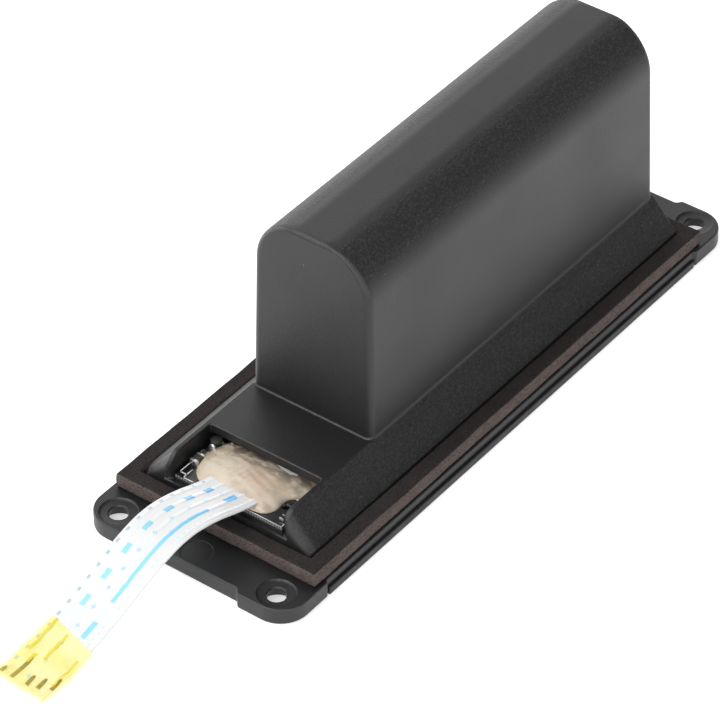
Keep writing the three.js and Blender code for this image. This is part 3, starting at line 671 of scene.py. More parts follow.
wrap.bump(wrap.noise(500.0, 4.0), 0.5, 0.12)
dress(tape, wrap, ["ribbon_tape"])

# %% [markdown]
# ## Bare conductors
# Near the tip five flat copper strips lie bare on the film, inside the yellow wrap. Each is a thin
# strip with rounded edges, and none lies quite straight.

# %% Contacts
CONTACT_WIDTH, CONTACT_THICK, CONTACT_LIFT = 0.66, 0.1, 0.205
# how far each one reaches back from the tip, how far it stays short of it, and how far it is pushed aside
CONTACTS = ((4.4, 2.1, -0.8), (3.2, 1.1, -0.9), (2.6, 0.6, -1.0), (4.8, 0.3, 0.1), (1.3, 0.2, 0.3))
copper = Finish("contact_copper", (0.55, 0.36, 0.10), 0.32, Metallic=0.9)
copper.mottle(copper.noise(1800.0, 3.0), (0.20, 0.11, 0.02), (0.46, 0.32, 0.09))
copper.gloss(copper.noise(2600.0, 3.0), 0.22, 0.5)
copper.bump(copper.noise(3200.0, 2.0, copper.stretch((1.0, 6.0, 1.0))), 0.3, 0.02)


def in_lane(lane, back, aside):
    """The wave of one strip: moved to its lane and aside, along a parabola; its back end tapers."""
    def moved(distance, across, lift):
        share = (distance - (TIP - back)) / back
        narrow = 0.55 + 0.45 * np.clip(4 * share, 0.0, 1.0)
        return distance, across * narrow + lane + aside * (0.6 + 0.4 * share ** 2), lift + CONTACT_LIFT
    return moved


for number, (back, short, aside) in enumerate(CONTACTS):
    lane = (number - 2) * CONDUCTOR_PITCH
    contact = strip_along(f"contact_strip_{number + 1}", TIP - back, TIP - short, 16,
                          flat_section(CONTACT_WIDTH, CONTACT_THICK, 5), in_lane(lane, back, aside))
    dress(contact, copper, [f"ribbon_contact_{number + 1}"])

# %% [markdown]
# ## The upper housing
# The housing is one injection moulding: a flange with four screw ears, a low deck with sloped sides
# and a window over the board, and the tall hump round the cells. Each is a closed solid made from its
# outline, with its own holes and rounded edges, because moulded edges are never sharp. Then they are
# joined, and the inside is taken away last.

# %% Sizes of the housing, from the frame
EAR_STEP_X, EAR_STEP_Y = 0.9, 0.45            # the ears stand proud of the edges between them
EAR_RADIUS, EAR_WIDTH, EAR_LENGTH = 4.8, 9.6, 10.0
DECK_IN_NEAR, DECK_IN_FAR, DECK_IN_SIDE = 2.8, 2.6, 2.8       # from the gasket's outer edges
DECK_FOOT, DECK_HEIGHT = 2.7, 8.0
WINDOW_LENGTH, WINDOW_HALF = 9.8, 10.5
HUMP_START, HUMP_STEP, HUMP_IN_SIDE = 20.9, 0.2, 7.5
LEDGE_GAP = 0.1

END_X, END_Y, HUMP_TOP = box_of("top_housing")[1]
gasket_low, gasket_high = box_of("foam_gasket")
board_low, board_high = box_of("protection_board")
FLANGE_TOP = gasket_low[2]
MID_X, MID_Y = END_X - EAR_STEP_X, END_Y - EAR_STEP_Y
DECK_NEAR, DECK_FAR = gasket_low[0] + DECK_IN_NEAR, gasket_high[0] - DECK_IN_FAR
HUMP_NEAR, HUMP_FAR = DECK_NEAR + HUMP_START, DECK_FAR - HUMP_STEP
WINDOW_BACK = DECK_NEAR + WINDOW_LENGTH
DECK_HALF, HUMP_HALF = gasket_high[1] - DECK_IN_SIDE, gasket_high[1] - HUMP_IN_SIDE
SLOPE_FOOT, DECK_TOP = FLANGE_TOP + DECK_FOOT, FLANGE_TOP + DECK_HEIGHT
SLOPE = (DECK_TOP - SLOPE_FOOT) / (DECK_HALF - HUMP_HALF)
LEDGE = board_low[2] - LEDGE_GAP
print("ears to", np.round([END_X, END_Y], 2), "deck", np.round([DECK_NEAR, DECK_FAR], 2),
      "hump", np.round([HUMP_NEAR, HUMP_FAR, HUMP_HALF], 2))

# %% The flange with its ears
END_LEAN, SIDE_LEAN = 0.35, 0.2               # half the run of the sloped step beside an ear
BELOW = -1.0                                  # where a tool that cuts from below starts
SEAT_TOP, SEAT_IN_X, SEAT_IN_Y = 1.5, 7.9, 1.9
SCREW_IN_X, SCREW_IN_Y = 3.55, 4.6


def flange_outline():
    """A quarter: end edge, step out to the ear, round corner, step back to the long edge; and mirrors."""
    turn = np.linspace(0.0, math.pi / 2, 13)
    corner = np.stack([END_X - EAR_RADIUS + EAR_RADIUS * np.cos(turn),
                       END_Y - EAR_RADIUS + EAR_RADIUS * np.sin(turn)], -1)
    step_y, step_x = END_Y - EAR_WIDTH, END_X - EAR_LENGTH
    return four_ways(np.vstack([[(MID_X, step_y - END_LEAN), (END_X, step_y + END_LEAN)], corner,
                                [(step_x + SIDE_LEAN, END_Y), (step_x - SIDE_LEAN, MID_Y)]]))


housing = rounded(prism("housing", flange_outline(), 0.0, FLANGE_TOP), 0.3)
seat_x, seat_y, lip_x = END_X - SEAT_IN_X, END_Y - SEAT_IN_Y, END_X - EAR_LENGTH
seat = four_ways(np.array([(seat_x, seat_y), (lip_x, seat_y), (lip_x, END_Y + 3)]))
combine(housing, prism("cover_seat", seat, BELOW, SEAT_TOP))

# Both profiles are (radius, height): a wide room below, the hole, and a seat with a soft rim on top;
# and the shallow round mark that one of the mould's ejector pins leaves.
screw_profile = [(2.75, BELOW), (2.75, 1.35), (2.6, 1.5), (1.5, 1.5), (1.5, 2.42), (1.66, 2.62), (2.7, 2.66),
                 (2.9, 2.71), (3.02, 2.80), (3.10, 2.92), (3.10, 4.0)]
mark_profile = [(2.2, 2.84), (2.4, 2.85), (2.52, 2.87), (2.60, 2.92), (2.60, 4.0)]
screw_x, screw_y = END_X - SCREW_IN_X, END_Y - SCREW_IN_Y
for x in (-screw_x, screw_x):
    for y in (-screw_y, screw_y):
        combine(housing, turned("screw_hole", screw_profile, (x, y)))
    combine(housing, turned("pin_mark", mark_profile, (x, 0.0)))
print("flange", len(housing.data.vertices), "points")

# %% [markdown]
# The deck is a cross-section, an upright foot and two slopes, carried along the pack. At the near end
# the section sinks and draws in along a quarter circle, so each rail ends in a round nose. The window
# is cut from it, wider between the noses, and then its sharp rims get a small radius.

# %% The deck and its window
NOSE_RADIUS, FAR_RADIUS, CREASE_RADIUS, RIM_RADIUS = 2.9, 0.3, 0.5, 0.32
WINDOW_FLARE = 1.3
SUNK = 0.6                                    # how deep the deck goes into the flange
FOOT_SHARE, KNEE_SHARE, CREASE_SHARE, RADIUS_SHARE = 0.33, 0.45, 0.10, 0.25


def soft_corner(before, corner, after, radius, count=6):
    """A parabola from one edge of a corner to the other; it starts radius / tan(half the corner) away."""
    one, other = ((p - corner) / np.linalg.norm(p - corner) for p in (before, after))
    reach = radius / math.tan(math.acos(float(one @ other)) / 2)
    start, end = corner + one * reach, corner + other * reach
    t = np.linspace(0.0, 1.0, count)[:, None]
    return (1 - t) ** 2 * start + 2 * t * (1 - t) * corner + t ** 2 * end


def deck_ring(x, sink):
    """The section at x: its top lower by sink, its foot, knee and crease moved by shares of it."""
    foot = np.array([DECK_HALF - FOOT_SHARE * sink, FLANGE_TOP - SUNK])
    knee = np.array([DECK_HALF - FOOT_SHARE * sink, SLOPE_FOOT - KNEE_SHARE * sink])
    crease = np.array([HUMP_HALF - CREASE_SHARE * sink, DECK_TOP - sink])
    centre = crease * [0.0, 1.0]
    radius = CREASE_RADIUS + RADIUS_SHARE * sink
    right = np.vstack([foot, soft_corner(foot, knee, crease, radius),
                       soft_corner(knee, crease, centre, radius)])
    return np.insert(both_sides(right), 0, x, axis=1)


turn = np.radians(np.linspace(0.0, 90.0, 11))
coarse_turn = turn[::2]
ring_x = np.concatenate([DECK_NEAR + NOSE_RADIUS * (1 - np.cos(turn)),
                         (DECK_FAR - FAR_RADIUS * (1 - np.cos(coarse_turn)))[::-1]])
ring_sink = np.concatenate([NOSE_RADIUS * (1 - np.sin(turn)), (FAR_RADIUS * (1 - np.sin(coarse_turn)))[::-1]])
deck = loft("deck", np.stack([deck_ring(x, sink) for x, sink in zip(ring_x, ring_sink)]))
flare = np.stack([DECK_NEAR + WINDOW_FLARE * (1 - np.cos(turn)),
                  WINDOW_HALF + WINDOW_FLARE * (1 - np.sin(turn))], -1)
half_window = np.vstack([[(DECK_NEAR - 5, WINDOW_HALF + WINDOW_FLARE)], flare, [(WINDOW_BACK, WINDOW_HALF)]])
window = np.vstack([half_window, half_window[::-1] * [1, -1]])
combine(deck, prism("window", window, LEDGE, DECK_TOP + 5))
rounded(deck, RIM_RADIUS, limit=33.0)
combine(housing, deck, "UNION")
print("with its deck", len(housing.data.vertices), "points")

# %% [markdown]
# The hump is a stack of rounded rectangles. Its walls lean in by the draft that lets it leave the
# mould, the two long top edges follow a wide radius, the short ones a small one, and at the foot it
# flares out into the deck. Each level is the same list of points, moved in by draft and rounding.

# %% The hump
DRAFT = math.radians(1.3)
SHOULDER, END_EDGE, CORNER, LEAST_CORNER = 8.0, 0.8, 1.2, 0.3
FLARE = 0.55
FLARE_TURNS = (78.0, 66.0, 54.0, 42.0, 30.0, 18.0, 8.0)       # degrees, from the wall to the deck
FLARE_SUNK, FOOT_SUNK = 0.10, 1.2             # how far the flare and the foot under it go into the deck
TOP_IN = 0.2                                  # the last level lies this much inside the rounding
BESIDE = 0.25                                 # an extra point this far from each end of a corner's arc


def hump_levels(inset, foot):
    """Each level's points: corner centre + radius x direction. The half sizes shrink by the draft, by the
    shoulder's 1 - cos, and by the end edge's circle."""
    top = HUMP_TOP - inset
    shoulder, corner = SHOULDER - inset, max(CORNER - inset, LEAST_CORNER)
    swing = np.radians(np.concatenate([np.linspace(0, 60, 11), np.linspace(63, 90, 14)]))
    straight = np.array([foot, foot + 0.5, (foot + top) / 2, top - shoulder - 0.5])
    z = np.concatenate([straight, top - shoulder * (1 - np.sin(swing)), [top]])
    pull = np.concatenate([0 * straight, shoulder * (1 - np.cos(swing)), [shoulder + TOP_IN]])
    lean = np.tan(DRAFT) * (z - DECK_TOP) + inset
    over = np.clip(z - (top - END_EDGE), 0.0, END_EDGE)
    end_pull = END_EDGE - np.sqrt(np.maximum(END_EDGE ** 2 - over ** 2, 0.0))
    end_pull[-1] += TOP_IN
    one_corner = np.concatenate([[0.0], np.linspace(0.0, math.pi / 2, 9), [math.pi / 2]])
    angle = np.concatenate([quarter * math.pi / 2 + one_corner for quarter in range(4)])
    beside = np.tile(np.concatenate([[-1.0], np.zeros(9), [1.0]]), 4) * BESIDE
    sign_x = np.repeat([1.0, -1.0, -1.0, 1.0], 11)
    sign_y = np.repeat([1.0, 1.0, -1.0, -1.0], 11)
    out_x, out_y = np.cos(angle), np.sin(angle)
    centre_x = np.where(sign_x > 0, (HUMP_FAR - lean - end_pull)[:, None] - corner,
                        (HUMP_NEAR + lean + end_pull)[:, None] + corner)
    centre_y = sign_y * ((HUMP_HALF - lean - pull)[:, None] - corner)
    x = centre_x + corner * out_x - beside * out_y
    y = centre_y + corner * out_y + beside * out_x
    return np.stack([x, y, z[:, None] + 0 * x], -1), out_x, out_y


def flared(rings, out_x, out_y):
    """Levels below the wall: out by flare x (1 - cos), down by flare x (1 - sin), less at the far end."""
    bend = np.radians(np.array(FLARE_TURNS))[:, None]
    reach = FLARE * (1 - np.cos(bend)) * (1 - 0.75 * np.maximum(0.0, out_x))
    wall_x = rings[0, :, 0] + reach * out_x
    wall_y = rings[0, :, 1] + reach * out_y
    ground = DECK_TOP - SLOPE * np.maximum(0.0, np.abs(wall_y) - HUMP_HALF)
    skirt = np.stack([wall_x, wall_y, ground + FLARE * (1 - np.sin(bend)) - FLARE_SUNK], -1)
    return np.concatenate([skirt[:1] - [0.0, 0.0, FOOT_SUNK], skirt, rings])


combine(housing, loft("hump", flared(*hump_levels(0.0, DECK_TOP + FLARE))), "UNION")

# %% [markdown]
# The inside is hollow, as in every moulding: the hump and the deck are taken away again, smaller by
# the wall. Then come the room under the board and the slot that the board lies in.

# %% Hollows
HUMP_WALL, DECK_WALL = 1.3, 1.5
ROOM_HALF = 9.1
SLOT_END_GAP, SLOT_GAP = 0.02, 0.01


def hollow_section(inset, foot):
    """Foot, knee and crease, mirrored: sides and top move in by the inset, the slope's ends by a share."""
    share = KNEE_SHARE * inset
    return both_sides(np.array([(DECK_HALF - inset, foot), (DECK_HALF - inset, SLOPE_FOOT - share),
                                (HUMP_HALF - share, DECK_TOP - inset)]))


combine(housing, prism("deck_hollow", hollow_section(DECK_WALL, BELOW), WINDOW_BACK + DECK_WALL,
                       DECK_FAR - DECK_WALL, axis=0))
combine(housing, loft("hump_hollow", hump_levels(HUMP_WALL, BELOW)[0]))
room_back = WINDOW_BACK + 2 * DECK_WALL
combine(housing, block("board_room", (DECK_NEAR + DECK_WALL, room_back), (-ROOM_HALF, ROOM_HALF),
                       (BELOW, DECK_TOP - DECK_WALL - 1)))
combine(housing, block("board_slot", (board_low[0] - SLOT_END_GAP, room_back),
                       (-WINDOW_HALF + SLOT_GAP, WINDOW_HALF - SLOT_GAP),
                       (LEDGE + SLOT_GAP, DECK_TOP - DECK_WALL)))
keep_flats_flat(housing, 100)
print("housing", len(housing.data.vertices), "points")

# %% [markdown]
# ## Black moulded plastic
# The mould's steel is spark-eroded, so the plastic has a fine even grain. Walls that slide out of the
# mould have a shallow grain; the slopes and the wide shoulder have a deep one that looks sandy, and
# the flat top is almost smooth. The grain is bump from two noises; where it is deep comes from the
# way the surface faces. On the sandy grain, pale specks are painted glints and dark specks painted
# shade, and walls that face sideways are painted a little paler, as painted light. The short edges
# at the near end are glossier and carry a painted highlight, and a few specks of dust lie on it.

# %% Where the grain is deep
plastic = Finish("housing_plastic", (0.011, 0.0105, 0.0115), 0.46, Specular_IOR_Level=0.5)
up = plastic.axis(plastic.facing, "Z")
ahead = plastic.times(plastic.axis(plastic.facing, "X"), -1.0)
leaning = plastic.times(plastic.span(up, 0.34, 0.62), plastic.span(up, 0.955, 0.992, 1.0, 0.0))
upright = plastic.span(plastic.math("ABSOLUTE", up), 0.06, 0.30, 1.0, 0.0)
# Painted highlight: the short edges at the near end are painted paler, and they are glossier too.
near_edge_highlight = plastic.times(plastic.span(ahead, 0.22, 0.42), plastic.span(ahead, 0.80, 0.94, 1.0, 0.0))
near_edge_highlight = plastic.times(near_edge_highlight, plastic.span(up, 0.12, 0.35))
fine_grain = plastic.noise(3000.0, 2.0, rough=0.6)
sandy_grain = plastic.noise(2600.0, 2.0, rough=0.7)
plastic.bump(plastic.blend(leaning, plastic.times(fine_grain, 0.22), sandy_grain), 0.7, 0.20)

# %% Tone and gloss of the plastic
clouds = plastic.noise(55.0, 3.0)
# Painted light on the grain: the glint noise lays pale highlight specks, the pit noise dark shade specks.
glint = plastic.span(plastic.noise(3400.0, 2.0), 0.47, 0.66)
pit_shade = plastic.span(plastic.noise(2100.0, 2.0), 0.36, 0.50, 1.0, 0.0)
dust = plastic.math("MAXIMUM", plastic.specks(150.0, 0.16, 0.05), plastic.specks(420.0, 0.12, 0.025))
tone = plastic.mix(clouds, (0.0095, 0.009, 0.0105), (0.0135, 0.013, 0.014))
# Painted light: walls that face sideways are painted a little paler.
tone = plastic.lay(tone, upright, 0.8, (0.0175, 0.017, 0.018))
# painted highlight specks and painted shade specks, strongest on the sandy faces
tone = plastic.lay(tone, glint, plastic.blend(leaning, 0.10, 0.7), (0.046, 0.0455, 0.047))
tone = plastic.lay(tone, pit_shade, plastic.blend(leaning, 0.15, 0.7), (0.003, 0.003, 0.003))
tone = plastic.lay(tone, dust, 0.8, (0.26, 0.25, 0.24))
# painted highlight on the short edges at the near end
tone = plastic.lay(tone, near_edge_highlight, 0.75, (0.058, 0.056, 0.057))
plastic.set("Base Color", tone)
rough = plastic.blend(leaning, plastic.span(clouds, 0.3, 0.7, 0.38, 0.46), 0.56)
rough = plastic.blend(near_edge_highlight, rough, 0.36)
plastic.set("Roughness", plastic.math("ADD", rough, plastic.times(dust, 0.3), clamp=True))
dress(housing, plastic, ["top_housing"])

# %% [markdown]
# ## The bottom cover
# A flat moulded plate closes the underside. It sits in a seat between the ears, and its long sides
# reach out to the edge of the flange as two lips, which show from the side as a second black line.
# A shallow recess holds the rating label, and a small rib stands under the board.

# %% Cover plate
COVER_THICK, SEAT_GAP, LIP_GAP = 1.4, 0.1, 0.3
LABEL_GAP, LABEL_RECESS = 0.3, 0.25
RIB_IN, RIB_THICK, RIB_HALF, RIB_FOOT, RIB_TOP = 3.1, 1.2, 7.0, 0.7, 5.5
cover_x, cover_y, cover_lip = seat_x - SEAT_GAP, seat_y - SEAT_GAP, lip_x - LIP_GAP
cover_outline = four_ways(np.array([(cover_x, cover_y), (cover_lip, cover_y), (cover_lip, END_Y)]))
cover = rounded(prism("cover_plate", cover_outline, 0.0, COVER_THICK), 0.18)
recess = box_of("rating_label")[1] + LABEL_GAP
combine(cover, block("label_recess", (-recess[0], recess[0]), (-recess[1], recess[1]), (BELOW, LABEL_RECESS)))
rib_x = board_high[0] - RIB_IN
rib = block("board_rib", (rib_x, rib_x + RIB_THICK), (-RIB_HALF, RIB_HALF), (RIB_FOOT, RIB_TOP))
combine(cover, rib, "UNION")
keep_flats_flat(cover, 50)

lid = Finish("cover_plastic", (0.011, 0.0115, 0.012), 0.5)
lid.mottle(lid.noise(70.0, 3.0), (0.010, 0.0105, 0.011), (0.016, 0.016, 0.017))
lid.gloss(lid.noise(300.0, 3.0), 0.42, 0.58)
lid.bump(lid.noise(3000.0, 2.0), 0.35, 0.05)
dress(cover, lid, ["bottom_cover"])

# %% [markdown]
# ## The foam gasket
# A frame of closed-cell foam is cut from a sheet and stuck to the flange, so the pack seals when it
# is screwed down. The cut sides show open cells and a browner colour; the top keeps the sheet's dark
# skin. The section is a soft-cornered rectangle whose sides bulge a little, carried round the frame,
# with slow waves so that no edge is ruler straight.

# %% Foam frame
GASKET_GAP = 0.15
SIDE_COUNTS = (80, 28, 80, 28)
BULGE = 0.035
TOP_DROP = 0.06                               # how much lower the skin is than the sheet's full height


def walk(low, high):
    """Points round a rectangle, the same share of each side for every rectangle."""
    corners = np.array([(low[0], low[1]), (high[0], low[1]), (high[0], high[1]), (low[0], high[1])])
    sides = [corners[i] + (corners[(i + 1) % 4] - corners[i]) * (np.arange(n) / n)[:, None]
             for i, n in enumerate(SIDE_COUNTS)]
    return np.vstack(sides)


def foam_profile():
    """Closed section as (share of the band, share of the height): each side bulges by a sine."""
    side = np.linspace(0.06, 0.94, 9)
    bulge = BULGE * np.sin(math.pi * side)
    over = np.linspace(0.93, 0.07, 9)
    return np.vstack([np.stack([0.985 + bulge, side], -1), np.stack([over, 1.0 + 0 * over], -1),
                      np.stack([0.015 - bulge * 0.5, side], -1)[::-1], np.stack([over[::-1], 0 * over], -1)])


def foam_frame():
    """The profile laid between an inner and an outer rectangle; sums of sines move its top and outer edge."""
    inside = walk((DECK_NEAR - GASKET_GAP, -DECK_HALF - GASKET_GAP),
                  (DECK_FAR + GASKET_GAP, DECK_HALF + GASKET_GAP))
    outside = walk(gasket_low[:2], gasket_high[:2])
    profile = foam_profile()
    share, rise = profile[:, 0][None, :, None], profile[:, 1][None, :]
    station = np.arange(len(inside))[:, None] * 2 * math.pi / len(inside)
    wave = 0.05 * np.sin(7 * station + 0.4) + 0.035 * np.sin(19 * station + 2.0) + 0.02 * np.sin(43 * station)
    thick = gasket_high[2] - gasket_low[2]
    z = gasket_low[2] + rise * (thick + (wave - TOP_DROP) * (rise > 0.5))
    drift = (0.03 * np.sin(11 * station + 1.0) + 0.02 * np.sin(31 * station))[..., None]
    band = (outside - inside)[:, None, :]
    outwards = band / np.linalg.norm(outside - inside, axis=1)[:, None, None]
    flat = inside[:, None, :] + band * share + outwards * drift * (share > 0.5)
    faces = grid_faces(len(inside), len(profile), loop_rows=True, loop_columns=True)
    return make_piece("gasket_foam", np.concatenate([flat, z[..., None]], -1), faces)


gasket = foam_frame()

# %% Foam finish
foam = Finish("gasket_foam", (0.045, 0.036, 0.033), 0.95, Specular_IOR_Level=0.15)
sideways = foam.span(foam.math("ABSOLUTE", foam.axis(foam.facing, "Z")), 0.35, 0.75, 1.0, 0.0)
pore, _ = foam.cells(2600.0)
small_pore, _ = foam.cells(5200.0)
pores = foam.times(foam.span(pore, 0.12, 0.50), foam.span(small_pore, 0.05, 0.45, 0.6, 1.0))
mottle = foam.noise(420.0, 4.0)
cut = foam.mix(mottle, (0.098, 0.076, 0.069), (0.165, 0.132, 0.122))
skin = foam.mix(mottle, (0.030, 0.026, 0.0255), (0.048, 0.041, 0.039))
foam_tone = foam.mix(sideways, skin, cut)
# Painted shade: the hollows of the open cells are painted dark.
foam_tone = foam.lay(foam_tone, foam.minus(1.0, pores), 0.6, (0.016, 0.012, 0.011))
foam_tone = foam.lay(foam_tone, foam.specks(210.0, 0.16, 0.04), 0.6, (0.30, 0.26, 0.22))
foam.set("Base Color", foam_tone)
foam.bump(foam.plus(pores, foam.times(mottle, 0.6)), 0.6, 0.16)
dress(gasket, foam, ["foam_gasket"])

# %% [markdown]
# ## The protection board
# The board under the window is black solder mask on glass laminate. Along its cut edge the router
# leaves pale ridges in the upper layer, and under the mask the copper shows as faint raised tracks.
# The CAD shape is right, so it stays and gets this finish; the white ink is laid on it as its own piece.

# %% Board finish
RIDGE_TURN = 6500.0                           # radians of a sine for each metre of edge
mask = Finish("board_mask", (0.010, 0.011, 0.011), 0.24, Coat_Weight=0.35, Coat_Roughness=0.12)
edge = mask.span(mask.math("ABSOLUTE", mask.axis(mask.facing, "Z")), 0.3, 0.7, 1.0, 0.0)
ridge = mask.math("ABSOLUTE", mask.math("SINE", mask.times(mask.axis(mask.place, "Y"), RIDGE_TURN)))
board_middle = (board_low[2] + board_high[2]) / 2 * MM
upper_edge = mask.span(mask.axis(mask.place, "Z"), board_middle - 0.07 * MM, board_middle + 0.07 * MM)
laminate = mask.mix(mask.times(ridge, upper_edge), (0.030, 0.030, 0.030), (0.24, 0.25, 0.25))
tracks, _ = mask.cells(620.0, mask.stretch((1.0, 0.35, 1.0)), feature="DISTANCE_TO_EDGE")
track = mask.span(tracks, 0.06, 0.14, 1.0, 0.0)
mask.mottle(edge, mask.mix(track, (0.008, 0.009, 0.009), (0.013, 0.014, 0.014)), laminate)
mask.bump(track, 0.15, 0.03)


def keep_node(name, finish):
    """A CAD node whose shape is right stays as it is and gets a better material."""
    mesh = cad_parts[name].data
    mesh.materials.clear()
    mesh.materials.append(finish.material)


keep_node("protection_board", mask)

# %% White ink on the board
INK_HEIGHT, INK_GAP = 0.03, 0.004
EDGE_X, EDGE_Y = board_low[0] + 0.12, board_high[1] - 0.22
CORNER_X, CORNER_Y = -46.2, 8.6
# start, end and width of each line
INK = [((-40.9, EDGE_Y), (CORNER_X, EDGE_Y), 0.20), ((CORNER_X, EDGE_Y), (CORNER_X, CORNER_Y), 0.20),
       ((CORNER_X, CORNER_Y), (-44.9, CORNER_Y), 0.20), ((CORNER_X, CORNER_Y), (EDGE_X, CORNER_Y), 0.20),
       ((EDGE_X, CORNER_Y), (EDGE_X, 6.6), 0.20), ((EDGE_X, 6.6), (EDGE_X, -EDGE_Y), 0.16),
       ((-41.0, -7.0), (-40.7, -9.2), 0.22), ((-46.8, -EDGE_Y), (-41.8, -EDGE_Y), 0.10)]


def ink_line(start, end, width):
    """The stretch between two points becomes a thin closed slab of the given width."""
    start, end = np.array(start, float), np.array(end, float)
    way = (end - start) / np.linalg.norm(end - start)
    side = np.array([-way[1], way[0]]) * width / 2
    grow = way * width / 2
    outline = [start - grow - side, end + grow - side, end + grow + side, start - grow + side]
    low = np.insert(np.array(outline), 2, board_high[2] + INK_GAP, axis=1)
    return np.stack([low, low + [0, 0, INK_HEIGHT]])


slabs = np.stack([ink_line(*line) for line in INK])
slab_faces = np.array([(0, 1, 2, 3), (4, 5, 6, 7), (0, 1, 5, 4), (1, 2, 6, 5), (2, 3, 7, 6), (3, 0, 4, 7)])
all_faces = (slab_faces[None] + 8 * np.arange(len(INK))[:, None, None]).reshape(-1, 4)
board_print = make_piece("board_print", slabs.reshape(-1, 3), all_faces)
ink = Finish("white_ink", (0.85, 0.86, 0.85), 0.6)
ink.mottle(ink.noise(2200.0, 3.0), (0.66, 0.67, 0.66), (0.93, 0.93, 0.91))
ink.bump(ink.noise(4000.0, 2.0), 0.3, 0.02)
dress(board_print, ink)

# %% [markdown]
# ## Small parts on the board
# Chip capacitors and resistors are a ceramic block with a tinned cap on each end. The round black
# inductor is a drum with two solder feet, whose solder climbs in a hollow curve. Each part is made
# from its own CAD box, so it stays where the frame has it.

# %% Ceramic, resin and solder
ceramic = Finish("chip_ceramic", (0.05, 0.04, 0.035), 0.45)
ceramic.mottle(ceramic.noise(2500.0, 3.0), (0.030, 0.024, 0.020), (0.075, 0.060, 0.048))
ceramic.bump(ceramic.noise(4000.0, 2.0), 0.3, 0.02)
resin = Finish("chip_resin", (0.014, 0.014, 0.015), 0.5)
resin.mottle(resin.noise(2600.0, 3.0), (0.011, 0.011, 0.012), (0.026, 0.026, 0.027))
resin.gloss(resin.noise(900.0, 3.0), 0.42, 0.6)
resin.bump(resin.noise(5200.0, 2.0), 0.3, 0.02)
tin = Finish("solder", (0.72, 0.72, 0.71), 0.28, Metallic=0.9)
tin.mottle(tin.noise(1600.0, 4.0), (0.46, 0.46, 0.46), (0.86, 0.86, 0.84))
tin.gloss(tin.noise(2200.0, 3.0), 0.16, 0.42)
tin.bump(tin.noise(1500.0, 3.0), 0.5, 0.06)

# %% Chips with tinned ends
CHIP_STATIONS = np.array([-1.0, -0.96, -0.62, -0.60, 0.60, 0.62, 0.96, 1.0])
CHIP_SWELL = np.array([0.90, 1.0, 1.0, 0.94, 0.94, 1.0, 1.0, 0.90])
CAP_START = 0.605                             # share of the half length where the tin starts
CHIP_POINTS = 24
SQUARENESS = 0.22


def chip(node, body_finish):
    """Rings along the part's long side, sign x |cos|^0.22 across: cap, a waist 6 percent slimmer, cap."""
    low, high = box_of(node)
    long_axis = int(high[1] - low[1] > high[0] - low[0])
    middle, half = (low + high) / 2, (high - low) / 2
    turn = np.arange(CHIP_POINTS) * 2 * math.pi / CHIP_POINTS
    ring_a, ring_b = (np.sign(wave) * np.abs(wave) ** SQUARENESS for wave in (np.cos(turn), np.sin(turn)))
    rings = np.empty((len(CHIP_STATIONS), CHIP_POINTS, 3))
    swell = CHIP_SWELL[:, None]
    rings[..., long_axis] = middle[long_axis] + CHIP_STATIONS[:, None] * half[long_axis]
    rings[..., 1 - long_axis] = middle[1 - long_axis] + swell * ring_a * half[1 - long_axis]
    rings[..., 2] = middle[2] + swell * ring_b * half[2]
    piece = dress(loft(node + "_part", rings), body_finish, [node])
    piece.data.materials.append(tin.material)
    centres = np.empty(len(piece.data.polygons) * 3, np.float32)
    piece.data.polygons.foreach_get("center", centres)
    from_middle = np.abs(centres.reshape(-1, 3)[:, long_axis] / MM - middle[long_axis])
    tinned = from_middle > CAP_START * half[long_axis]
    piece.data.polygons.foreach_set("material_index", tinned.astype(np.int32))
    piece.data.set_sharp_from_angle(angle=math.radians(40.0))


for node in ("small_capacitor_1", "small_capacitor_2", "chip_fuse"):
    chip(node, ceramic)
for node in ("chip_resistor_1", "chip_resistor_2", "sense_resistor"):
    chip(node, resin)

# %% Round inductor with solder feet
drum_low, drum_high = box_of("tall_capacitor")
drum_middle = (drum_low + drum_high) / 2
drum_radius = (drum_high[1] - drum_low[1]) / 2
drum_foot, drum_top = drum_low[2], drum_high[2]
drum_profile = [(0.75 * drum_radius, drum_foot), (drum_radius, drum_foot + 0.1),
                (drum_radius, drum_foot + 0.45), (0.82 * drum_radius, drum_foot + 0.6),
                (0.82 * drum_radius, drum_top - 0.6), (drum_radius, drum_top - 0.45),
                (drum_radius, drum_top - 0.08), (0.86 * drum_radius, drum_top)]
drum = turned("inductor_drum", drum_profile, drum_middle[:2], sides=36)
dress(drum, resin, ["tall_capacitor"])

FOOT_POINTS = 20
foot_rise = np.array([0.0, 0.35, 0.8, 1.1, 1.25])[:, None]
foot_spread = np.array([0.75, 0.62, 0.50, 0.40, 0.20])[:, None]
foot_turn = np.arange(FOOT_POINTS) * 2 * math.pi / FOOT_POINTS
foot_size = len(foot_rise) * FOOT_POINTS
one_foot = grid_faces(len(foot_rise), FOOT_POINTS, loop_columns=True).tolist()
one_foot += [list(range(FOOT_POINTS)), list(range(foot_size - FOOT_POINTS, foot_size))]
feet_points = np.concatenate([np.stack([
    drum_middle[0] + side * (0.98 - 0.08 * foot_rise) + foot_spread * np.cos(foot_turn) * 0.8,
    drum_middle[1] + foot_spread * np.sin(foot_turn) * (1.15 + 0.1 * np.cos(3 * foot_turn)),
    drum_foot + foot_rise + 0 * foot_turn], -1) for side in (-1, 1)])
feet = make_piece("inductor_solder", feet_points, one_foot + [[i + foot_size for i in f] for f in one_foot])
dress(feet, tin)

# %% [markdown]
# ## The glue over the joints
# A hand-laid mound of beige hot glue holds the ribbon and seals its joints. Its outline is uneven, its
# top is a low dome with streaks from the nozzle, and it thins out towards the back, where the tinned
# tab shows through. It is a polar sheet: an outline radius for each direction, and a height that
# falls from the middle to the rim.

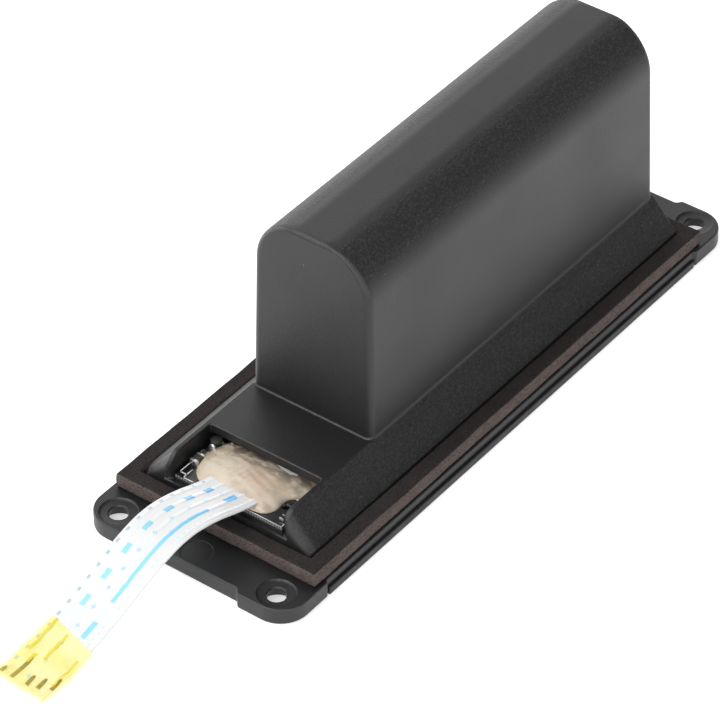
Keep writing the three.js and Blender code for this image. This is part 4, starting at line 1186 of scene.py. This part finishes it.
# %% Glue mound
GLUE_MIDDLE = np.array([-41.2, 0.2])
GLUE_OUTLINE = np.array([
    (-41.2, 9.0), (-43.4, 8.6), (-45.1, 7.7), (-46.3, 6.0), (-46.5, 4.0), (-46.6, 0.9), (-46.7, -2.1),
    (-46.7, -4.5), (-46.1, -6.2), (-44.5, -7.1), (-42.8, -7.0), (-41.5, -7.3), (-40.2, -8.8), (-38.2, -9.6),
    (-36.6, -8.9), (-36.0, -7.4), (-36.4, -5.4), (-36.2, -3.4), (-35.6, -1.6), (-35.4, 1.6), (-35.5, 4.8),
    (-36.2, 7.4), (-38.2, 8.6)])
GLUE_ROWS, RIM_STEPS = 34, 8
CROWN, BACK_DROP, SIDE_DROP = 2.05, 0.85, 0.45
GLUE_GAP = 0.02


def glue_mound():
    """Height = crown x (1 - share^2.6)^0.55 plus streaks, where share runs from the middle to the outline."""
    closed = np.vstack([GLUE_OUTLINE[-3:], GLUE_OUTLINE, GLUE_OUTLINE[:3]])
    rim = smooth_route(closed, RIM_STEPS)[2 * RIM_STEPS:-3 * RIM_STEPS]
    share = np.sin(np.linspace(0.02, 1.0, GLUE_ROWS) * math.pi / 2)[:, None]
    flat = GLUE_MIDDLE + (rim - GLUE_MIDDLE)[None] * share[..., None]
    x, y = flat[..., 0], flat[..., 1]
    crown = CROWN + 0.10 * np.sin(0.8 * y + 0.6) - BACK_DROP * np.clip((x + 40.4) / 3.2, 0.0, 1.0)
    crown = crown - SIDE_DROP * np.clip((-y - 3.5) / 4.0, 0.0, 1.0)
    streaks = (0.035 * np.sin(2.6 * x + 0.9 * y + 1.5 * np.sin(0.7 * y)) + 0.025 * np.sin(4.7 * x - 1.3 * y)
               + 0.02 * np.sin(6.1 * y + 2.0 * x))
    z = crown * np.maximum(1 - share ** 2.6, 0.0) ** 0.55 + streaks * (1 - share ** 3)
    foot = board_high[2] + GLUE_GAP
    top = np.stack([x, y, foot + np.maximum(z, 0.02)], -1)
    under = np.stack([x[-1:], y[-1:], foot + 0 * x[-1:]], -1)
    return loft("glue_mound", np.concatenate([top, under]))


glue = glue_mound()
beige = Finish("hot_glue", (0.62, 0.50, 0.38), 0.22, Coat_Weight=0.5, Coat_Roughness=0.06,
               Subsurface_Weight=0.12, Subsurface_Scale=0.0006, Subsurface_Radius=(1.0, 0.7, 0.45))
streak = beige.noise(330.0, 5.0, beige.stretch((1.0, 0.45, 1.0)), rough=0.6)
warm = beige.span(beige.noise(130.0, 3.0), 0.54, 0.72)
toward_back = beige.span(beige.axis(beige.place, "X"), -41.8 * MM, -38.4 * MM)
dirty = beige.times(toward_back, beige.span(beige.noise(520.0, 4.0), 0.40, 0.60))
blush = beige.mix(beige.span(streak, 0.34, 0.68), (0.50, 0.41, 0.30), (0.72, 0.62, 0.49))
blush = beige.lay(blush, warm, 0.35, (0.68, 0.49, 0.37))
beige.mottle(dirty, blush, (0.27, 0.22, 0.18))
beige.gloss(streak, 0.16, 0.36)
beige.bump(beige.plus(streak, beige.times(beige.noise(1400.0, 3.0), 0.4)), 0.35, 0.12)
dress(glue, beige, ["adhesive_blob"])

# %% [markdown]
# ## Finishes of the parts that stay as the CAD has them
# The cells and most of what is joined to them are out of sight until the pack is opened. The CAD
# shapes of these parts are right, so they stay. Each kind gets the finish of the real thing: nickel
# strips, shrink sleeves, insulating paper, the wires' insulation, foam pads and the blank label.

# %% One finish for each kind
def plain(name, dark, light, roughness, scale, depth=0.03, stretch=(1.0, 1.0, 1.0), **constants):
    """Two tones mixed by a noise, roughness that varies with it, and a fine bump."""
    finish = Finish(name, dark, roughness, **constants)
    where = finish.stretch(stretch)
    pattern = finish.noise(scale, 4.0, where)
    finish.mottle(pattern, dark, light)
    finish.gloss(pattern, roughness * 0.8, min(1.0, roughness * 1.25))
    finish.bump(finish.noise(scale * 2.5, 3.0, where), 0.35, depth)
    return finish


steel = plain("cell_steel", (0.42, 0.43, 0.44), (0.62, 0.63, 0.64), 0.3, 700.0, 0.01, (0.1, 1, 1),
              Metallic=0.95)
sleeve = plain("cell_sleeve_film", (0.03, 0.14, 0.36), (0.05, 0.19, 0.45), 0.32, 160.0, 0.02, Coat_Weight=0.4)
cap = plain("cap_steel", (0.55, 0.55, 0.54), (0.74, 0.74, 0.73), 0.25, 1200.0, 0.01, Metallic=0.95)
card = plain("insulating_paper", (0.16, 0.25, 0.15), (0.22, 0.33, 0.20), 0.9, 1800.0, 0.05)
nickel = plain("nickel", (0.50, 0.48, 0.44), (0.70, 0.68, 0.63), 0.3, 900.0, 0.01, (1, 1, 0.15),
               Metallic=0.95)
clear = plain("clear_film", (0.60, 0.47, 0.16), (0.74, 0.60, 0.26), 0.25, 300.0, 0.02, Coat_Weight=0.5)
pad = plain("pad_foam", (0.03, 0.03, 0.03), (0.07, 0.07, 0.07), 0.95, 2400.0, 0.2)
red = plain("red_insulation", (0.42, 0.02, 0.015), (0.55, 0.04, 0.03), 0.42, 700.0)
black = plain("black_insulation", (0.012, 0.012, 0.013), (0.022, 0.022, 0.023), 0.42, 700.0)
white_cover = plain("white_insulation", (0.62, 0.62, 0.60), (0.74, 0.74, 0.72), 0.45, 700.0)
bead = plain("thermistor_resin", (0.010, 0.028, 0.016), (0.018, 0.045, 0.026), 0.3, 900.0)
label = plain("label_film", (0.25, 0.26, 0.27), (0.33, 0.34, 0.35), 0.45, 1300.0, 0.01)

kept = {"upper_cell_can": steel, "lower_cell_can": steel, "upper_cell_sleeve": sleeve,
        "lower_cell_sleeve": sleeve, "upper_cell_cap": cap, "lower_cell_cap": cap, "end_paper_far": card,
        "end_paper_near": card, "upper_cell_cap_ring": card, "lower_cell_cap_ring": card,
        "series_strip": nickel, "positive_strip": nickel, "negative_strip": nickel, "cell_band": clear,
        "near_cell_pad": pad, "far_cell_pad": pad, "charge_transistor": resin, "discharge_transistor": resin,
        "protection_chip": resin, "fuel_gauge_chip": resin, "output_tab": tin, "positive_wire": red,
        "negative_wire": black, "middle_wire": white_cover, "thermistor_wire": white_cover,
        "thermistor": bead, "rating_label": label}
for node, finish in kept.items():
    keep_node(node, finish)
print("carried over", len(kept) + 1, "CAD nodes")
